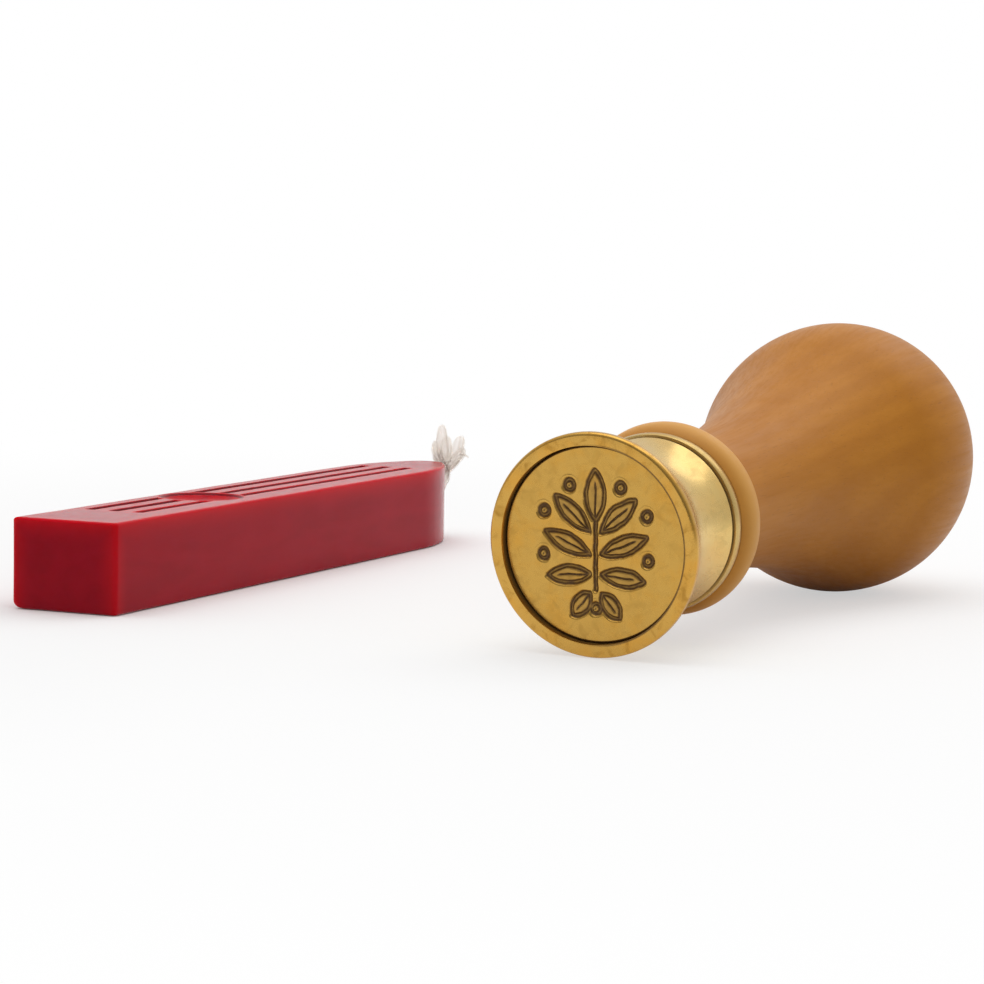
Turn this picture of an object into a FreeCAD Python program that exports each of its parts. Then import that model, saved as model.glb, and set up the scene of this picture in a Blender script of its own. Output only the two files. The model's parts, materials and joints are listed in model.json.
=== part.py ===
import FreeCAD, Part
import math
import os

import Sketcher
from FreeCAD import Placement, Rotation, Vector

# A sealing-wax set: a moulded stick of wax with its wick, and a brass seal on a turned wooden handle.
# Lengths are in millimetres and angles in degrees. The stamp lies beside the stick, on its rim and on
# the bulb of its handle, and both rest on the plane z = 0.

SIZES = {
    # Wax stick
    "stick_length": 85.5,
    "stick_width": 12.2,
    "stick_height": 9.3,
    "stick_edge_radius": 0.3,
    "nose_length": 14.0,
    "nose_tip_radius": 3.0,
    "flute_start": 10.6,
    "flute_length": 64.0,
    "flute_width": 1.15,
    "flute_depth": 0.45,
    "flute_spacing": 2.85,
    "pattern_aside": 0.6,
    "medallion_station": 29.0,
    "medallion_diameter": 9.2,
    "medallion_depth": 0.7,
    "medallion_border": 0.35,
    # Wick, held in the wax but for its frayed end
    "wick_diameter": 1.7,
    "wick_clearance": 0.05,
    "wick_butt_cover": 6.0,
    "wick_height": 4.65,
    "wick_bend_radius": 2.6,
    "wick_stem_length": 2.2,
    "tuft_length": 5.0,
    "tuft_width": 2.1,
    # Brass cup with the raised rim
    "rim_diameter": 21.0,
    "rim_thickness": 1.05,
    "rim_edge_radius": 0.35,
    "cup_diameter": 19.7,
    "cup_straight": 0.85,
    "cup_floor": 1.0,
    "recess_diameter": 18.5,
    "coin_setback": 0.8,
    # Engraved coin
    "coin_thickness": 1.65,
    "coin_clearance": 0.08,
    "coin_edge_chamfer": 0.15,
    "engraving_depth": 0.35,
    "sprig_height": 14.0,
    "stem_width": 0.7,
    "leaf_width": 1.45,
    "berry_diameter": 0.9,
    # Thread that draws the coin into the handle
    "thread_diameter": 5.0,
    "thread_pitch": 0.8,
    "thread_depth": 0.4,
    "thread_clearance": 0.05,
    "thread_play": 0.06,
    "thread_overrun": 0.1,
    "stud_seat_depth": 0.5,
    "stud_reach": 6.6,
    "stud_tip_chamfer": 0.3,
    "stud_hole_clearance": 0.25,
    "insert_diameter": 7.2,
    "insert_length": 7.0,
    "insert_groove_width": 0.8,
    "insert_groove_depth": 0.3,
    # Waisted ferrule
    "ferrule_length": 11.55,
    "ferrule_front_diameter": 18.2,
    "ferrule_waist_diameter": 15.4,
    "ferrule_waist_station": 5.05,
    "ferrule_rear_diameter": 16.7,
    "ferrule_bore_diameter": 12.1,
    "groove_width": 0.3,
    "groove_depth": 0.3,
    "bead_width": 1.25,
    "bead_diameter": 17.36,
    "bead_crown": 0.13,
    # Turned handle
    "glue_gap": 0.05,
    "tenon_setback": 0.1,
    "insert_bore_spare": 0.6,
    "collar_lip_diameter": 16.9,
    "collar_diameter": 18.8,
    "collar_station": 2.05,
    "neck_diameter": 13.8,
    "neck_station": 8.0,
    "bulb_diameter": 29.1,
    "bulb_front_radius": 20.0,
    "bulb_station": 47.2,
    # Where the stamp lies beside the stick
    "stamp_aside": 57.9,
    "stamp_ahead": 2.4,
    # Common to all cuts
    "cut_overrun": 1.0,
}
STAMP_YAW = 3.1
WICK_LEAN = 14.0
FLUTE_COUNT = 3

# Shares of the thread's pitch and depth, and of the wick's tufts
flank_share = math.tan(math.radians(30.0))
crest_share = 0.2
tuft_side_shares = (-0.48, 0.45)
tuft_rise_shares = (0.8, 0.76)
tuft_reach_shares = (1.0, 0.84)
tuft_angles = (-18.0, 25.0)

# The engraved sprig in shares of its height, from the middle of the coin: a stem, a bud on it, four leaves
# on each side (place of the foot up the stem, angle from upright, length) and berries (across, up)
stem_shares = (-0.3, 0.143)
bud_shares = (0.157, 0.336)
leaf_aside_share = 0.043
leaf_shares = ((0.086, 48.0, 0.33), (-0.064, 68.0, 0.35), (-0.2, 95.0, 0.307), (-0.329, 140.0, 0.2))
berry_shares = ((0.186, 0.386), (0.371, 0.207), (0.379, -0.086))
foot_berry_share = -0.43

doc = FreeCAD.newDocument("sealing_wax_set")
sheet = doc.addObject("Spreadsheet::Sheet", "sizes")
for row, (alias, value) in enumerate(SIZES.items(), start=1):
    sheet.set("A%d" % row, alias)
    sheet.set("B%d" % row, str(value))
    sheet.setAlias("B%d" % row, alias)
doc.recompute()


class Size:
    """A length that carries its number and the expression that binds it to the sheet."""

    def __init__(self, number, text):
        self.number = number
        self.text = text

    def __add__(self, other):
        other = as_size(other)
        return Size(self.number + other.number, "(%s + %s)" % (self.text, other.text))

    def __sub__(self, other):
        other = as_size(other)
        return Size(self.number - other.number, "(%s - %s)" % (self.text, other.text))

    def __mul__(self, other):
        other = as_size(other)
        return Size(self.number * other.number, "%s * %s" % (self.text, other.text))

    def __truediv__(self, other):
        other = as_size(other)
        return Size(self.number / other.number, "%s / (%s)" % (self.text, other.text))

    def __neg__(self):
        return Size(-self.number, "-(%s)" % self.text)


def as_size(value):
    """Let a plain share or count take part in a sum of sizes."""
    return value if isinstance(value, Size) else Size(float(value), "(%r)" % value)


def size(alias):
    """The driving dimension of that name."""
    return Size(float(getattr(sheet, alias)), "%s.%s" % (sheet.Name, alias))


ZERO = as_size(0)


def new_body(name):
    body = doc.addObject("PartDesign::Body", name)
    body.Label = name
    return body


def new_sketch(body, name, role, offset=None):
    """A sketch on one of the body's own origin planes, moved along its normal by an offset."""
    sketch = body.newObject("Sketcher::SketchObject", name)
    plane = next(item for item in body.Origin.OriginFeatures if item.Role == role)
    sketch.AttachmentSupport = [(plane, "")]
    sketch.MapMode = "FlatFace"
    if offset is not None:
        sketch.setExpression("AttachmentOffset.Base.z", offset.text)
    return sketch


def pin(sketch, piece, end, point):
    """Hold one sketch point at its two sizes from the sketch origin."""
    for kind, length, axis in (("DistanceX", point[0], -2), ("DistanceY", point[1], -1)):
        if length.number == 0:
            sketch.addConstraint(Sketcher.Constraint("PointOnObject", piece, end, axis))
            continue
        ends = (-1, 1, piece, end)
        if length.number < 0:
            ends = (piece, end, -1, 1)
            length = -length
        index = sketch.addConstraint(Sketcher.Constraint(kind, *ends, length.number))
        sketch.setExpression("Constraints[%d]" % index, length.text)


def arc_between(start, end, radius, side):
    """The short arc from start to end, with its centre to the left (1) or right (-1) of the way there."""
    chord = end - start
    middle = (start + end) / 2
    rise = math.sqrt(radius ** 2 - (chord.Length / 2) ** 2)
    across = Vector(-chord.y, chord.x, 0).normalize() * side
    centre = middle + across * rise
    first, last = (start, end) if side > 0 else (end, start)
    angles = [math.atan2(point.y - centre.y, point.x - centre.x) for point in (first, last)]
    return Part.ArcOfCircle(Part.Circle(centre, Vector(0, 0, 1), radius), *angles)


def add_outline(sketch, steps, closed=True):
    """Add lines and arcs from point to point. A step is a point, or a point, a radius and a side
    for an arc that ends there; the first step is where the outline starts."""
    points = [step[:2] for step in steps]
    places = [Vector(point[0].number, point[1].number, 0) for point in points]
    count = len(steps) if closed else len(steps) - 1
    pieces = []
    for number in range(count):
        after = (number + 1) % len(steps)
        step = steps[after]
        if len(step) == 2:
            piece = sketch.addGeometry(Part.LineSegment(places[number], places[after]), False)
            pieces.append((piece, 1, 2))
            continue
        radius, side = step[2:]
        arc = arc_between(places[number], places[after], radius.number, side)
        piece = sketch.addGeometry(arc, False)
        pieces.append((piece, 1, 2) if side > 0 else (piece, 2, 1))
        index = sketch.addConstraint(Sketcher.Constraint("Radius", piece, radius.number))
        sketch.setExpression("Constraints[%d]" % index, radius.text)
    for number, (piece, first, last) in enumerate(pieces):
        pin(sketch, piece, first, points[number])
        if closed or number + 1 < len(pieces):
            following = pieces[(number + 1) % len(pieces)]
            sketch.addConstraint(Sketcher.Constraint("Coincident", piece, last, following[0], following[1]))
        else:
            pin(sketch, piece, last, points[number + 1])


def add_circle(sketch, centre, radius):
    place = Vector(centre[0].number, centre[1].number, 0)
    piece = sketch.addGeometry(Part.Circle(place, Vector(0, 0, 1), radius.number), False)
    index = sketch.addConstraint(Sketcher.Constraint("Radius", piece, radius.number))
    sketch.setExpression("Constraints[%d]" % index, radius.text)
    pin(sketch, piece, 3, centre)


def rectangle(left, right, low, high):
    return [(left, low), (right, low), (right, high), (left, high)]


def revolve(body, steps):
    """Turn an outline in the plane of the body's X and Z about its Z axis."""
    sketch = new_sketch(body, body.Label + "_profile", "XZ_Plane")
    add_outline(sketch, steps)
    turned = body.newObject("PartDesign::Revolution", body.Label + "_turned")
    turned.Profile = sketch
    turned.ReferenceAxis = (sketch, ["V_Axis"])
    turned.Angle = 360.0
    return turned


def pocket(body, name, sketch, depth, reverse=False):
    cut = body.newObject("PartDesign::Pocket", name)
    cut.Profile = sketch
    cut.Reversed = reverse
    cut.setExpression("Length", depth.text)
    return cut


def cut_thread(body, steps, height):
    """Cut one right-hand helical groove of the outline's section about the body's Z axis."""
    doc.recompute()
    sketch = new_sketch(body, body.Label + "_thread_section", "XZ_Plane")
    add_outline(sketch, steps)
    thread = body.newObject("PartDesign::SubtractiveHelix", body.Label + "_thread")
    thread.Profile = sketch
    thread.ReferenceAxis = (sketch, ["V_Axis"])
    thread.Mode = "pitch-height-angle"
    thread.setExpression("Pitch", size("thread_pitch").text)
    thread.setExpression("Height", height.text)
    return thread


def bridge(crest, valley):
    """Join a convex crest arc to a concave valley arc, both level at their own stations.
    A crest is a station, a radius from the axis and an arc radius; a valley is a station and a
    radius from the axis. Returns the valley's arc radius and the point where the two arcs touch."""
    station, reach, round_radius = crest
    along = valley[0] - station
    centre = reach - round_radius
    drop = valley[1] - centre
    hollow = (along * along + drop * drop - round_radius * round_radius) / ((reach - valley[1]) * 2)
    share = round_radius / (round_radius + hollow)
    touch = (centre + (drop + hollow) * share, station + along * share)
    return hollow, touch


def level_arc_radius(along, rise):
    """The radius of an arc that starts level and climbs a rise over a length."""
    return (along * along + rise * rise) / (rise * 2)


def chord_half(radius, offset):
    """Half the chord of a circle at an offset from its centre, for an offset under the radius."""
    square = radius * radius - offset * offset
    return Size(math.sqrt(square.number), "sqrt(%s)" % square.text)


# Stations along the stamp's axis, measured from the front of the rim towards the handle
coin_front = size("coin_setback")
cup_inside = coin_front + size("coin_thickness")
cup_back = cup_inside + size("cup_floor")
tenon_front = cup_back + size("tenon_setback")
shoulder = cup_back + size("ferrule_length")
bulb_middle = shoulder + size("bulb_station")
bulb_radius = size("bulb_diameter") / 2
tenon_radius = size("ferrule_bore_diameter") / 2 - size("glue_gap")
insert_radius = size("insert_diameter") / 2
insert_back = tenon_front + size("insert_length")

# Thread radii: the stud's ridges run in the insert's grooves with the same clearance all round
stud_radius = size("thread_diameter") / 2 - size("thread_clearance")
stud_root = stud_radius - size("thread_depth")
insert_root = size("thread_diameter") / 2 + size("thread_clearance")
insert_bore = stud_root + size("thread_clearance") * 2
pitch = size("thread_pitch")
thread_start = tenon_front - pitch


def make_handle():
    """Turned wood: bored tenon, rounded collar, long hollow neck and a bulb."""
    body = new_body("handle")
    bore = insert_radius + size("glue_gap")
    bore_end = insert_back + size("insert_bore_spare")
    lip = size("collar_lip_diameter") / 2
    crest = size("collar_diameter") / 2
    collar = (shoulder + size("collar_station"), crest, level_arc_radius(size("collar_station"), crest - lip))
    neck = (shoulder + size("neck_station"), size("neck_diameter") / 2)
    bulb = (bulb_middle, bulb_radius, size("bulb_front_radius"))
    cove_radius, cove_touch = bridge(collar, neck)
    neck_arc_radius, neck_touch = bridge(bulb, neck)
    revolve(body, [
        (ZERO, bore_end),
        (bore, bore_end),
        (bore, tenon_front),
        (tenon_radius, tenon_front),
        (tenon_radius, shoulder),
        (lip, shoulder),
        (*cove_touch, collar[2], 1),
        (neck[1], neck[0], cove_radius, -1),
        (*neck_touch, neck_arc_radius, -1),
        (bulb_radius, bulb_middle, bulb[2], 1),
        (ZERO, bulb_middle + bulb_radius, bulb_radius, 1),
    ])
    return body


def make_ferrule():
    """Brass sleeve: flared front, waist, sunk groove and a crowned bead against the wood."""
    body = new_body("ferrule")
    bore = size("ferrule_bore_diameter") / 2
    front = size("ferrule_front_diameter") / 2
    waist = size("ferrule_waist_diameter") / 2
    rear = size("ferrule_rear_diameter") / 2
    waist_station = cup_back + size("ferrule_waist_station")
    bead_front = shoulder - size("bead_width")
    groove_front = bead_front - size("groove_width")
    groove_floor = rear - size("groove_depth")
    bead_edge = size("bead_diameter") / 2 - size("bead_crown")
    bead_arc = level_arc_radius(size("bead_width") / 2, size("bead_crown"))
    revolve(body, [
        (bore, cup_back),
        (front, cup_back),
        (waist, waist_station, level_arc_radius(size("ferrule_waist_station"), front - waist), -1),
        (rear, groove_front, level_arc_radius(groove_front - waist_station, rear - waist), -1),
        (groove_floor, groove_front),
        (groove_floor, bead_front),
        (bead_edge, bead_front),
        (bead_edge, shoulder, bead_arc, 1),
        (bore, shoulder),
    ])
    return body


def make_cup():
    """Brass cup: flat rim with softened edges, round recess for the coin, holed floor and rounded back."""
    body = new_body("seal_cup")
    rim = size("rim_diameter") / 2
    edge = size("rim_edge_radius")
    recess = size("recess_diameter") / 2
    hole = stud_radius + size("stud_hole_clearance")
    outside = size("cup_diameter") / 2
    back = size("ferrule_front_diameter") / 2
    round_start = size("rim_thickness") + size("cup_straight")
    back_round = level_arc_radius(cup_back - round_start, outside - back)
    revolve(body, [
        (hole, cup_inside),
        (recess, cup_inside),
        (recess, ZERO),
        (rim - edge, ZERO),
        (rim, edge, edge, 1),
        (rim, size("rim_thickness") - edge),
        (rim - edge, size("rim_thickness"), edge, 1),
        (outside, size("rim_thickness")),
        (outside, round_start),
        (back, cup_back, back_round, 1),
        (hole, cup_back),
    ])
    return body


def make_coin():
    """Brass disc with a seat for the stud behind and a leafy sprig cut into its face."""
    body = new_body("seal_coin")
    reach = size("recess_diameter") / 2 - size("coin_clearance")
    chamfer = size("coin_edge_chamfer")
    seat = cup_inside - size("stud_seat_depth")
    revolve(body, [
        (ZERO, coin_front),
        (reach - chamfer, coin_front),
        (reach, coin_front + chamfer),
        (reach, cup_inside),
        (stud_radius, cup_inside),
        (stud_radius, seat),
        (ZERO, seat),
    ])
    sketch = new_sketch(body, "sprig", "XY_Plane", coin_front)
    height = size("sprig_height")
    berry = size("berry_diameter") / 2
    half_stem = size("stem_width") / 2
    low, high = (-height * share for share in stem_shares)
    add_outline(sketch, rectangle(-half_stem, half_stem, high, low))
    add_leaf(sketch, (ZERO, -height * bud_shares[0]), 0.0, height * bud_shares[1])
    add_circle(sketch, (ZERO, -height * foot_berry_share), berry)
    for sign in (-1, 1):
        for foot_share, angle, length_share in leaf_shares:
            foot = (height * (sign * leaf_aside_share), -height * foot_share)
            add_leaf(sketch, foot, sign * angle, height * length_share)
        for across_share, up_share in berry_shares:
            add_circle(sketch, (height * (sign * across_share), -height * up_share), berry)
    pocket(body, "engraving", sketch, size("engraving_depth"), reverse=True)
    return body


def add_leaf(sketch, foot, angle, length):
    """One pointed leaf of two arcs, turned from upright; up on the coin is down in the sketch."""
    across = math.sin(math.radians(angle))
    upward = math.cos(math.radians(angle))
    tip = (foot[0] + length * across, foot[1] - length * upward)
    radius = level_arc_radius(length / 2, size("leaf_width") / 2)
    add_outline(sketch, [(*foot, radius, 1), (*tip, radius, 1)])


def make_stud():
    """Brass stud: plain shank in the coin's back, then a right-hand thread."""
    body = new_body("coin_stud")
    seat = cup_inside - size("stud_seat_depth")
    tip = cup_back + size("stud_reach")
    chamfer = size("stud_tip_chamfer")
    revolve(body, [
        (ZERO, seat),
        (stud_radius, seat),
        (stud_radius, tip - chamfer),
        (stud_radius - chamfer, tip),
        (ZERO, tip),
    ])
    outer = stud_radius + size("thread_overrun")
    half_root = (pitch * (1 - crest_share) - size("thread_depth") * (2 * flank_share)) / 2
    half_outer = half_root + (outer - stud_root) * flank_share
    cut_thread(body, [
        (stud_root, thread_start - half_root),
        (outer, thread_start - half_outer),
        (outer, thread_start + half_outer),
        (stud_root, thread_start + half_root),
    ], tip - thread_start + pitch)
    return body


def make_insert():
    """Brass insert: threaded bore and two glue grooves round the outside."""
    body = new_body("threaded_insert")
    groove = size("insert_groove_width")
    floor = insert_radius - size("insert_groove_depth")
    land = (size("insert_length") - groove * 2) / 3
    first = tenon_front + land
    second = first + groove + land
    revolve(body, [
        (insert_bore, tenon_front),
        (insert_radius, tenon_front),
        (insert_radius, first),
        (floor, first),
        (floor, first + groove),
        (insert_radius, first + groove),
        (insert_radius, second),
        (floor, second),
        (floor, second + groove),
        (insert_radius, second + groove),
        (insert_radius, insert_back),
        (insert_bore, insert_back),
    ])
    inner = insert_bore - size("thread_overrun")
    half_root = pitch * (crest_share / 2) + size("thread_play") - (insert_root - stud_radius) * flank_share
    half_inner = half_root + (insert_root - inner) * flank_share
    middle = thread_start - pitch / 2
    cut_thread(body, [
        (inner, middle - half_inner),
        (insert_root, middle - half_root),
        (insert_root, middle + half_root),
        (inner, middle + half_inner),
    ], insert_back - thread_start + pitch * 2)
    return body


def make_wax():
    """Moulded wax: straight sides, bow-shaped nose, and flutes that stop round a sunk medallion on top."""
    body = new_body("wax_body")
    half = size("stick_width") / 2
    length = size("stick_length")
    tip = size("nose_tip_radius")
    straight = length - size("nose_length")
    bow = size("nose_length") - tip
    side_radius = (bow * bow + half * half - tip * tip) / ((half - tip) * 2)
    share = side_radius / (side_radius - tip)
    touch_aside = half - side_radius + (side_radius - half) * share
    touch_along = straight + bow * share
    sketch = new_sketch(body, "stick_plan", "XY_Plane")
    add_outline(sketch, [
        (-half, ZERO),
        (half, ZERO),
        (half, straight),
        (touch_aside, touch_along, side_radius, 1),
        (-touch_aside, touch_along, tip, 1),
        (-half, straight, side_radius, 1),
    ])
    block = body.newObject("PartDesign::Pad", "stick_block")
    block.Profile = sketch
    block.setExpression("Length", size("stick_height").text)
    doc.recompute()
    rounding = body.newObject("PartDesign::Fillet", "stick_edges")
    rounding.Base = (block, sharp_edges(block.Shape))
    rounding.setExpression("Radius", size("stick_edge_radius").text)
    flutes = new_sketch(body, "flute_plan", "XY_Plane", size("stick_height"))
    start = size("flute_start")
    end = start + size("flute_length")
    station = size("medallion_station")
    border = size("medallion_diameter") / 2 + size("medallion_border")
    for number in range(FLUTE_COUNT):
        offset = size("flute_spacing") * (number - (FLUTE_COUNT - 1) / 2)
        left = offset - size("pattern_aside") - size("flute_width") / 2
        right = left + size("flute_width")
        gap = chord_half(border, offset)
        add_outline(flutes, rectangle(left, right, start, station - gap))
        add_outline(flutes, rectangle(left, right, station + gap, end))
    pocket(body, "flutes", flutes, size("flute_depth"))
    medallion = new_sketch(body, "medallion_plan", "XY_Plane", size("stick_height"))
    add_circle(medallion, (-size("pattern_aside"), station), size("medallion_diameter") / 2)
    pocket(body, "medallion", medallion, size("medallion_depth"))
    bore = new_sketch(body, "wick_bore_plan", "XZ_Plane", -size("wick_butt_cover"))
    bore_radius = size("wick_diameter") / 2 + size("wick_clearance")
    add_circle(bore, (ZERO, size("wick_height")), bore_radius)
    bore_length = length - size("wick_butt_cover") + size("cut_overrun")
    pocket(body, "wick_bore", bore, bore_length)
    return body


def sharp_edges(shape):
    """Names of the block's sharp edges: those round its top and bottom, and the corners of its butt."""
    names = []
    for number, edge in enumerate(shape.Edges, start=1):
        upright = edge.BoundBox.ZLength > edge.BoundBox.DiagonalLength / 2
        near_butt = edge.CenterOfMass.y < shape.CenterOfMass.y
        if near_butt or not upright:
            names.append("Edge%d" % number)
    return names


def make_wick():
    """Cotton wick: a straight core inside the wax, a bend at the nose and two frayed tufts."""
    body = new_body("wick")
    start = size("wick_butt_cover") + size("wick_clearance")
    bend = size("wick_bend_radius")
    radius = size("wick_diameter") / 2
    length = size("stick_length")
    aside = length + bend
    top = bend + size("wick_stem_length")
    path = new_sketch(body, "wick_path", "YZ_Plane")
    add_outline(path, [
        (start, ZERO),
        (length, ZERO),
        (aside, bend, bend, 1),
        (aside, top),
    ], closed=False)
    section = new_sketch(body, "wick_section", "XZ_Plane", -start)
    add_circle(section, (ZERO, ZERO), radius)
    cord = body.newObject("PartDesign::AdditivePipe", "wick_cord")
    cord.Profile = section
    cord.Spine = (path, ["Edge1", "Edge2", "Edge3"])
    half_width = size("tuft_width") / 2
    for number, name in enumerate(("left_tuft", "right_tuft")):
        tuft = body.newObject("PartDesign::AdditiveEllipsoid", name)
        half_length = size("tuft_length") / 2 * tuft_reach_shares[number]
        tuft.setExpression("Radius1", half_length.text)
        tuft.setExpression("Radius2", half_width.text)
        tuft.setExpression("Radius3", half_width.text)
        place = (
            size("tuft_width") * tuft_side_shares[number],
            aside,
            top + half_length * tuft_rise_shares[number],
        )
        tuft.Placement = Placement(Vector(), Rotation(Vector(0, 1, 0), tuft_angles[number]))
        for letter, length_there in zip("xyz", place):
            tuft.setExpression("Placement.Base." + letter, length_there.text)
    return body


def stamp_tilt():
    """How far the stamp's axis rises when it lies on its rim and on the front round of its bulb."""
    edge = size("rim_edge_radius").number
    front = size("bulb_front_radius").number
    upright = size("rim_diameter").number / 2 - edge + front - bulb_radius.number
    along = bulb_middle.number - edge
    lean = math.acos((front - edge) / math.hypot(upright, along))
    return math.atan2(along, upright) - lean


def rim_centre_height(tilt):
    """Height of the rim's front centre above the table at that tilt."""
    edge = size("rim_edge_radius").number
    reach = size("rim_diameter").number / 2 - edge
    return reach * math.cos(tilt) + edge * (1 - math.sin(tilt))


stamp_bodies = [make_handle(), make_ferrule(), make_insert(), make_cup(), make_coin(), make_stud()]
stick_bodies = [make_wax(), make_wick()]
doc.recompute()

# Set the pieces out on the table, then move the whole set so that its box stands over the origin
tilt = stamp_tilt()
aim = Rotation(Vector(0, 0, 1), -STAMP_YAW)
aim = aim.multiply(Rotation(Vector(1, 0, 0), math.degrees(tilt) - 90))
rim_centre = Vector(size("stamp_aside").number, -size("stamp_ahead").number, rim_centre_height(tilt))
places = {body: Placement(rim_centre, aim) for body in stamp_bodies}
places[stick_bodies[0]] = Placement()
wick_start = Vector(0, 0, size("wick_height").number)
places[stick_bodies[1]] = Placement(wick_start, Rotation(Vector(0, 1, 0), WICK_LEAN))
for body, place in places.items():
    body.Placement = place
doc.recompute()
whole = Part.Compound([body.Shape for body in places]).optimalBoundingBox(False, False)
shift = Vector(-whole.Center.x, -whole.Center.y, 0)
for body in places:
    body.Placement.Base += shift
doc.recompute()

# Check every object and every cut, then write one file for each piece
cut_kinds = ("PartDesign::Pocket", "PartDesign::SubtractiveHelix")
for item in doc.Objects:
    if "Invalid" in item.State or "Error" in item.State:
        raise RuntimeError("%s did not build: %s" % (item.Label, item.State))
    if item.TypeId in cut_kinds and item.Shape.Volume >= item.BaseFeature.Shape.Volume:
        raise RuntimeError("%s cuts nothing" % item.Label)
for body in places:
    if body.Shape.isNull() or not body.Shape.isValid() or len(body.Shape.Solids) != 1:
        raise RuntimeError("%s is not one valid solid" % body.Label)
os.makedirs("parts", exist_ok=True)
for body in places:
    body.Shape.exportStep("parts/%s.step" % body.Label)
    box = body.Shape.optimalBoundingBox(False, False)
    print("%-16s volume %9.2f  low %7.2f %7.2f %7.2f  high %7.2f %7.2f %7.2f" % (
        body.Label, body.Shape.Volume, box.XMin, box.YMin, box.ZMin, box.XMax, box.YMax, box.ZMax))
rim_centre += shift
outward = aim.multVec(Vector(0, 0, -1))
print("rim centre %.4f %.4f %.4f" % tuple(rim_centre))
print("outward axis %.6f %.6f %.6f, tilt %.4f degrees" % (*outward, math.degrees(tilt)))
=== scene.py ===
import json
import math
import random

import bmesh
import bpy
import numpy as np
from mathutils import Matrix, Vector, noise


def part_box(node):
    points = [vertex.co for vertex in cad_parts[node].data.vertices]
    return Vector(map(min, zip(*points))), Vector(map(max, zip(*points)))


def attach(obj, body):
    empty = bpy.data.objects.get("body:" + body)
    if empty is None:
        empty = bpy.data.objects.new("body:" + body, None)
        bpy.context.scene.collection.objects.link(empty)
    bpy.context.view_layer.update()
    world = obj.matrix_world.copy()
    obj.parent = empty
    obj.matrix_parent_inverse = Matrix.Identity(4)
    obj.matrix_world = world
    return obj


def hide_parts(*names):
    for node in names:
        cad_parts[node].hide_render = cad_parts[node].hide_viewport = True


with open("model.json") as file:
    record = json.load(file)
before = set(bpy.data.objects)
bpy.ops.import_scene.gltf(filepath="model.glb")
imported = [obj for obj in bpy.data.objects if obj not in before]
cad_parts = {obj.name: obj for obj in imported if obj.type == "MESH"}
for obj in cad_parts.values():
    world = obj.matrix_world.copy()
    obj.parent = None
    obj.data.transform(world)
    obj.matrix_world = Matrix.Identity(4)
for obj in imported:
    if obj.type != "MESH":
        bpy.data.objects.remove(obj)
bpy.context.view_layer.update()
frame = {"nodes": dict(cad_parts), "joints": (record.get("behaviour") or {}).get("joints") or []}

# Looks of a sealing-wax set: a moulded wax stick with a frayed wick, and a brass seal on a turned handle.
# Pieces are drawn in millimetres in two frames. The stamp's has its origin at the middle of the rim's
# front, with x to the right and y up as the seal is faced, and z out of its face; a station is a length
# from there towards the handle. The stick's has its origin under the middle of its butt, with y along it
# and z up.
MM = 0.001
NOISE_SEED = 7
noise.seed_set(NOISE_SEED)

# Meshes: how close points are one, and which edges stay sharp, in degrees
SAME_POINT = 1e-4
SHARP_EDGE = 40.0
COIN_SEGMENTS = 512
COIN_RINGS = 151
RECESS_ROWS = 5

# Stamp: radii and lengths
RECESS_RADIUS = 9.25
RIM_THICKNESS = 1.05
RIM_EDGE_RADIUS = 0.35
CUP_RADIUS = 9.85
CUP_STRAIGHT = 0.85
CUP_HOLE_RADIUS = 2.7
COIN_EDGE_CHAMFER = 0.15
STUD_RADIUS = 2.45
STUD_SEAT_DEPTH = 0.5
FERRULE_BORE_RADIUS = 6.05
WAIST_RADIUS = 7.7
WAIST_STATION = 5.05
FERRULE_REAR_RADIUS = 8.35
GROOVE_WIDTH = 0.3
GROOVE_DEPTH = 0.3
BEAD_WIDTH = 1.25
BEAD_EDGE_RADIUS = 8.55
BEAD_CROWN = 0.13
TENON_RADIUS = 6.0
INSERT_BORE_RADIUS = 3.65
INSERT_BORE_DEPTH = 7.6
COLLAR_LIP_RADIUS = 8.45
COLLAR_RADIUS = 9.4
COLLAR_STATION = 2.05
NECK_RADIUS = 6.9
NECK_STATION = 8.0
BULB_FRONT_RADIUS = 20.0
METAL_EDGE = 0.09
EDGE_LINE = 0.1
WOOD_EDGE = 0.2

# Grime and painted shade on the stamp: how much lies in a place, and how wide. Painted shade darkens the
# recess (with grime on the coin's edge), the seams and the crease behind the rim; a painted dark
# reflection with tarnish darkens the bead, and patina the groove. The recess has shares of its depth and,
# from left to right, of the rim's radius; the collar, lighter where rubbed and with a painted highlight,
# has shares of its crest's station
RECESS_SHADE_AND_GRIME = 0.76
WALL_SHARES = (0.1, 0.8)
LINE_SHARES = (-0.2, 0.5)
LINE_REACH = 0.11
CUP_SEAM_SHADE = 0.8
CUP_SEAM_WIDTH = 0.35
LIP_SHADE = 0.7
LIP_SHADE_WIDTH = 0.18
LIP_SHADE_INSET = 0.2
GROOVE_GRIME = 0.7
GROOVE_GRIME_REACH = 0.21
GROOVE_GRIME_INSET = 0.05
BEAD_TARNISH_AND_REFLECTION = 0.2
FERRULE_SEAM_SHADE = 0.7
FRONT_SEAM_WIDTH = 0.3
REAR_SEAM_WIDTH = 0.25
WOOD_SEAM_WIDTH = 0.14
TENON_SHADE = 0.3
LIP_RUB_AND_HIGHLIGHT = 0.4
RUB_AND_HIGHLIGHT_FULL_SHARE = 0.8
RUB_AND_HIGHLIGHT_FADE_SHARES = (1.3, 2.6)

# Engraved sprig, in shares of its height from the middle of the coin: (across, up) or (up, angle, length)
SPRIG_HEIGHT = 14.0
STEM_SHARES = (-0.3, 0.143)
BUD_SHARES = (0.157, 0.336)
LEAF_ASIDE_SHARE = 0.043
LEAF_SHARES = ((0.086, 48.0, 0.33), (-0.064, 68.0, 0.35), (-0.2, 95.0, 0.307), (-0.329, 140.0, 0.2))
BERRY_SHARES = ((0.186, 0.386), (0.371, 0.207), (0.379, -0.086))
FOOT_BERRY_SHARE = -0.43

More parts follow.
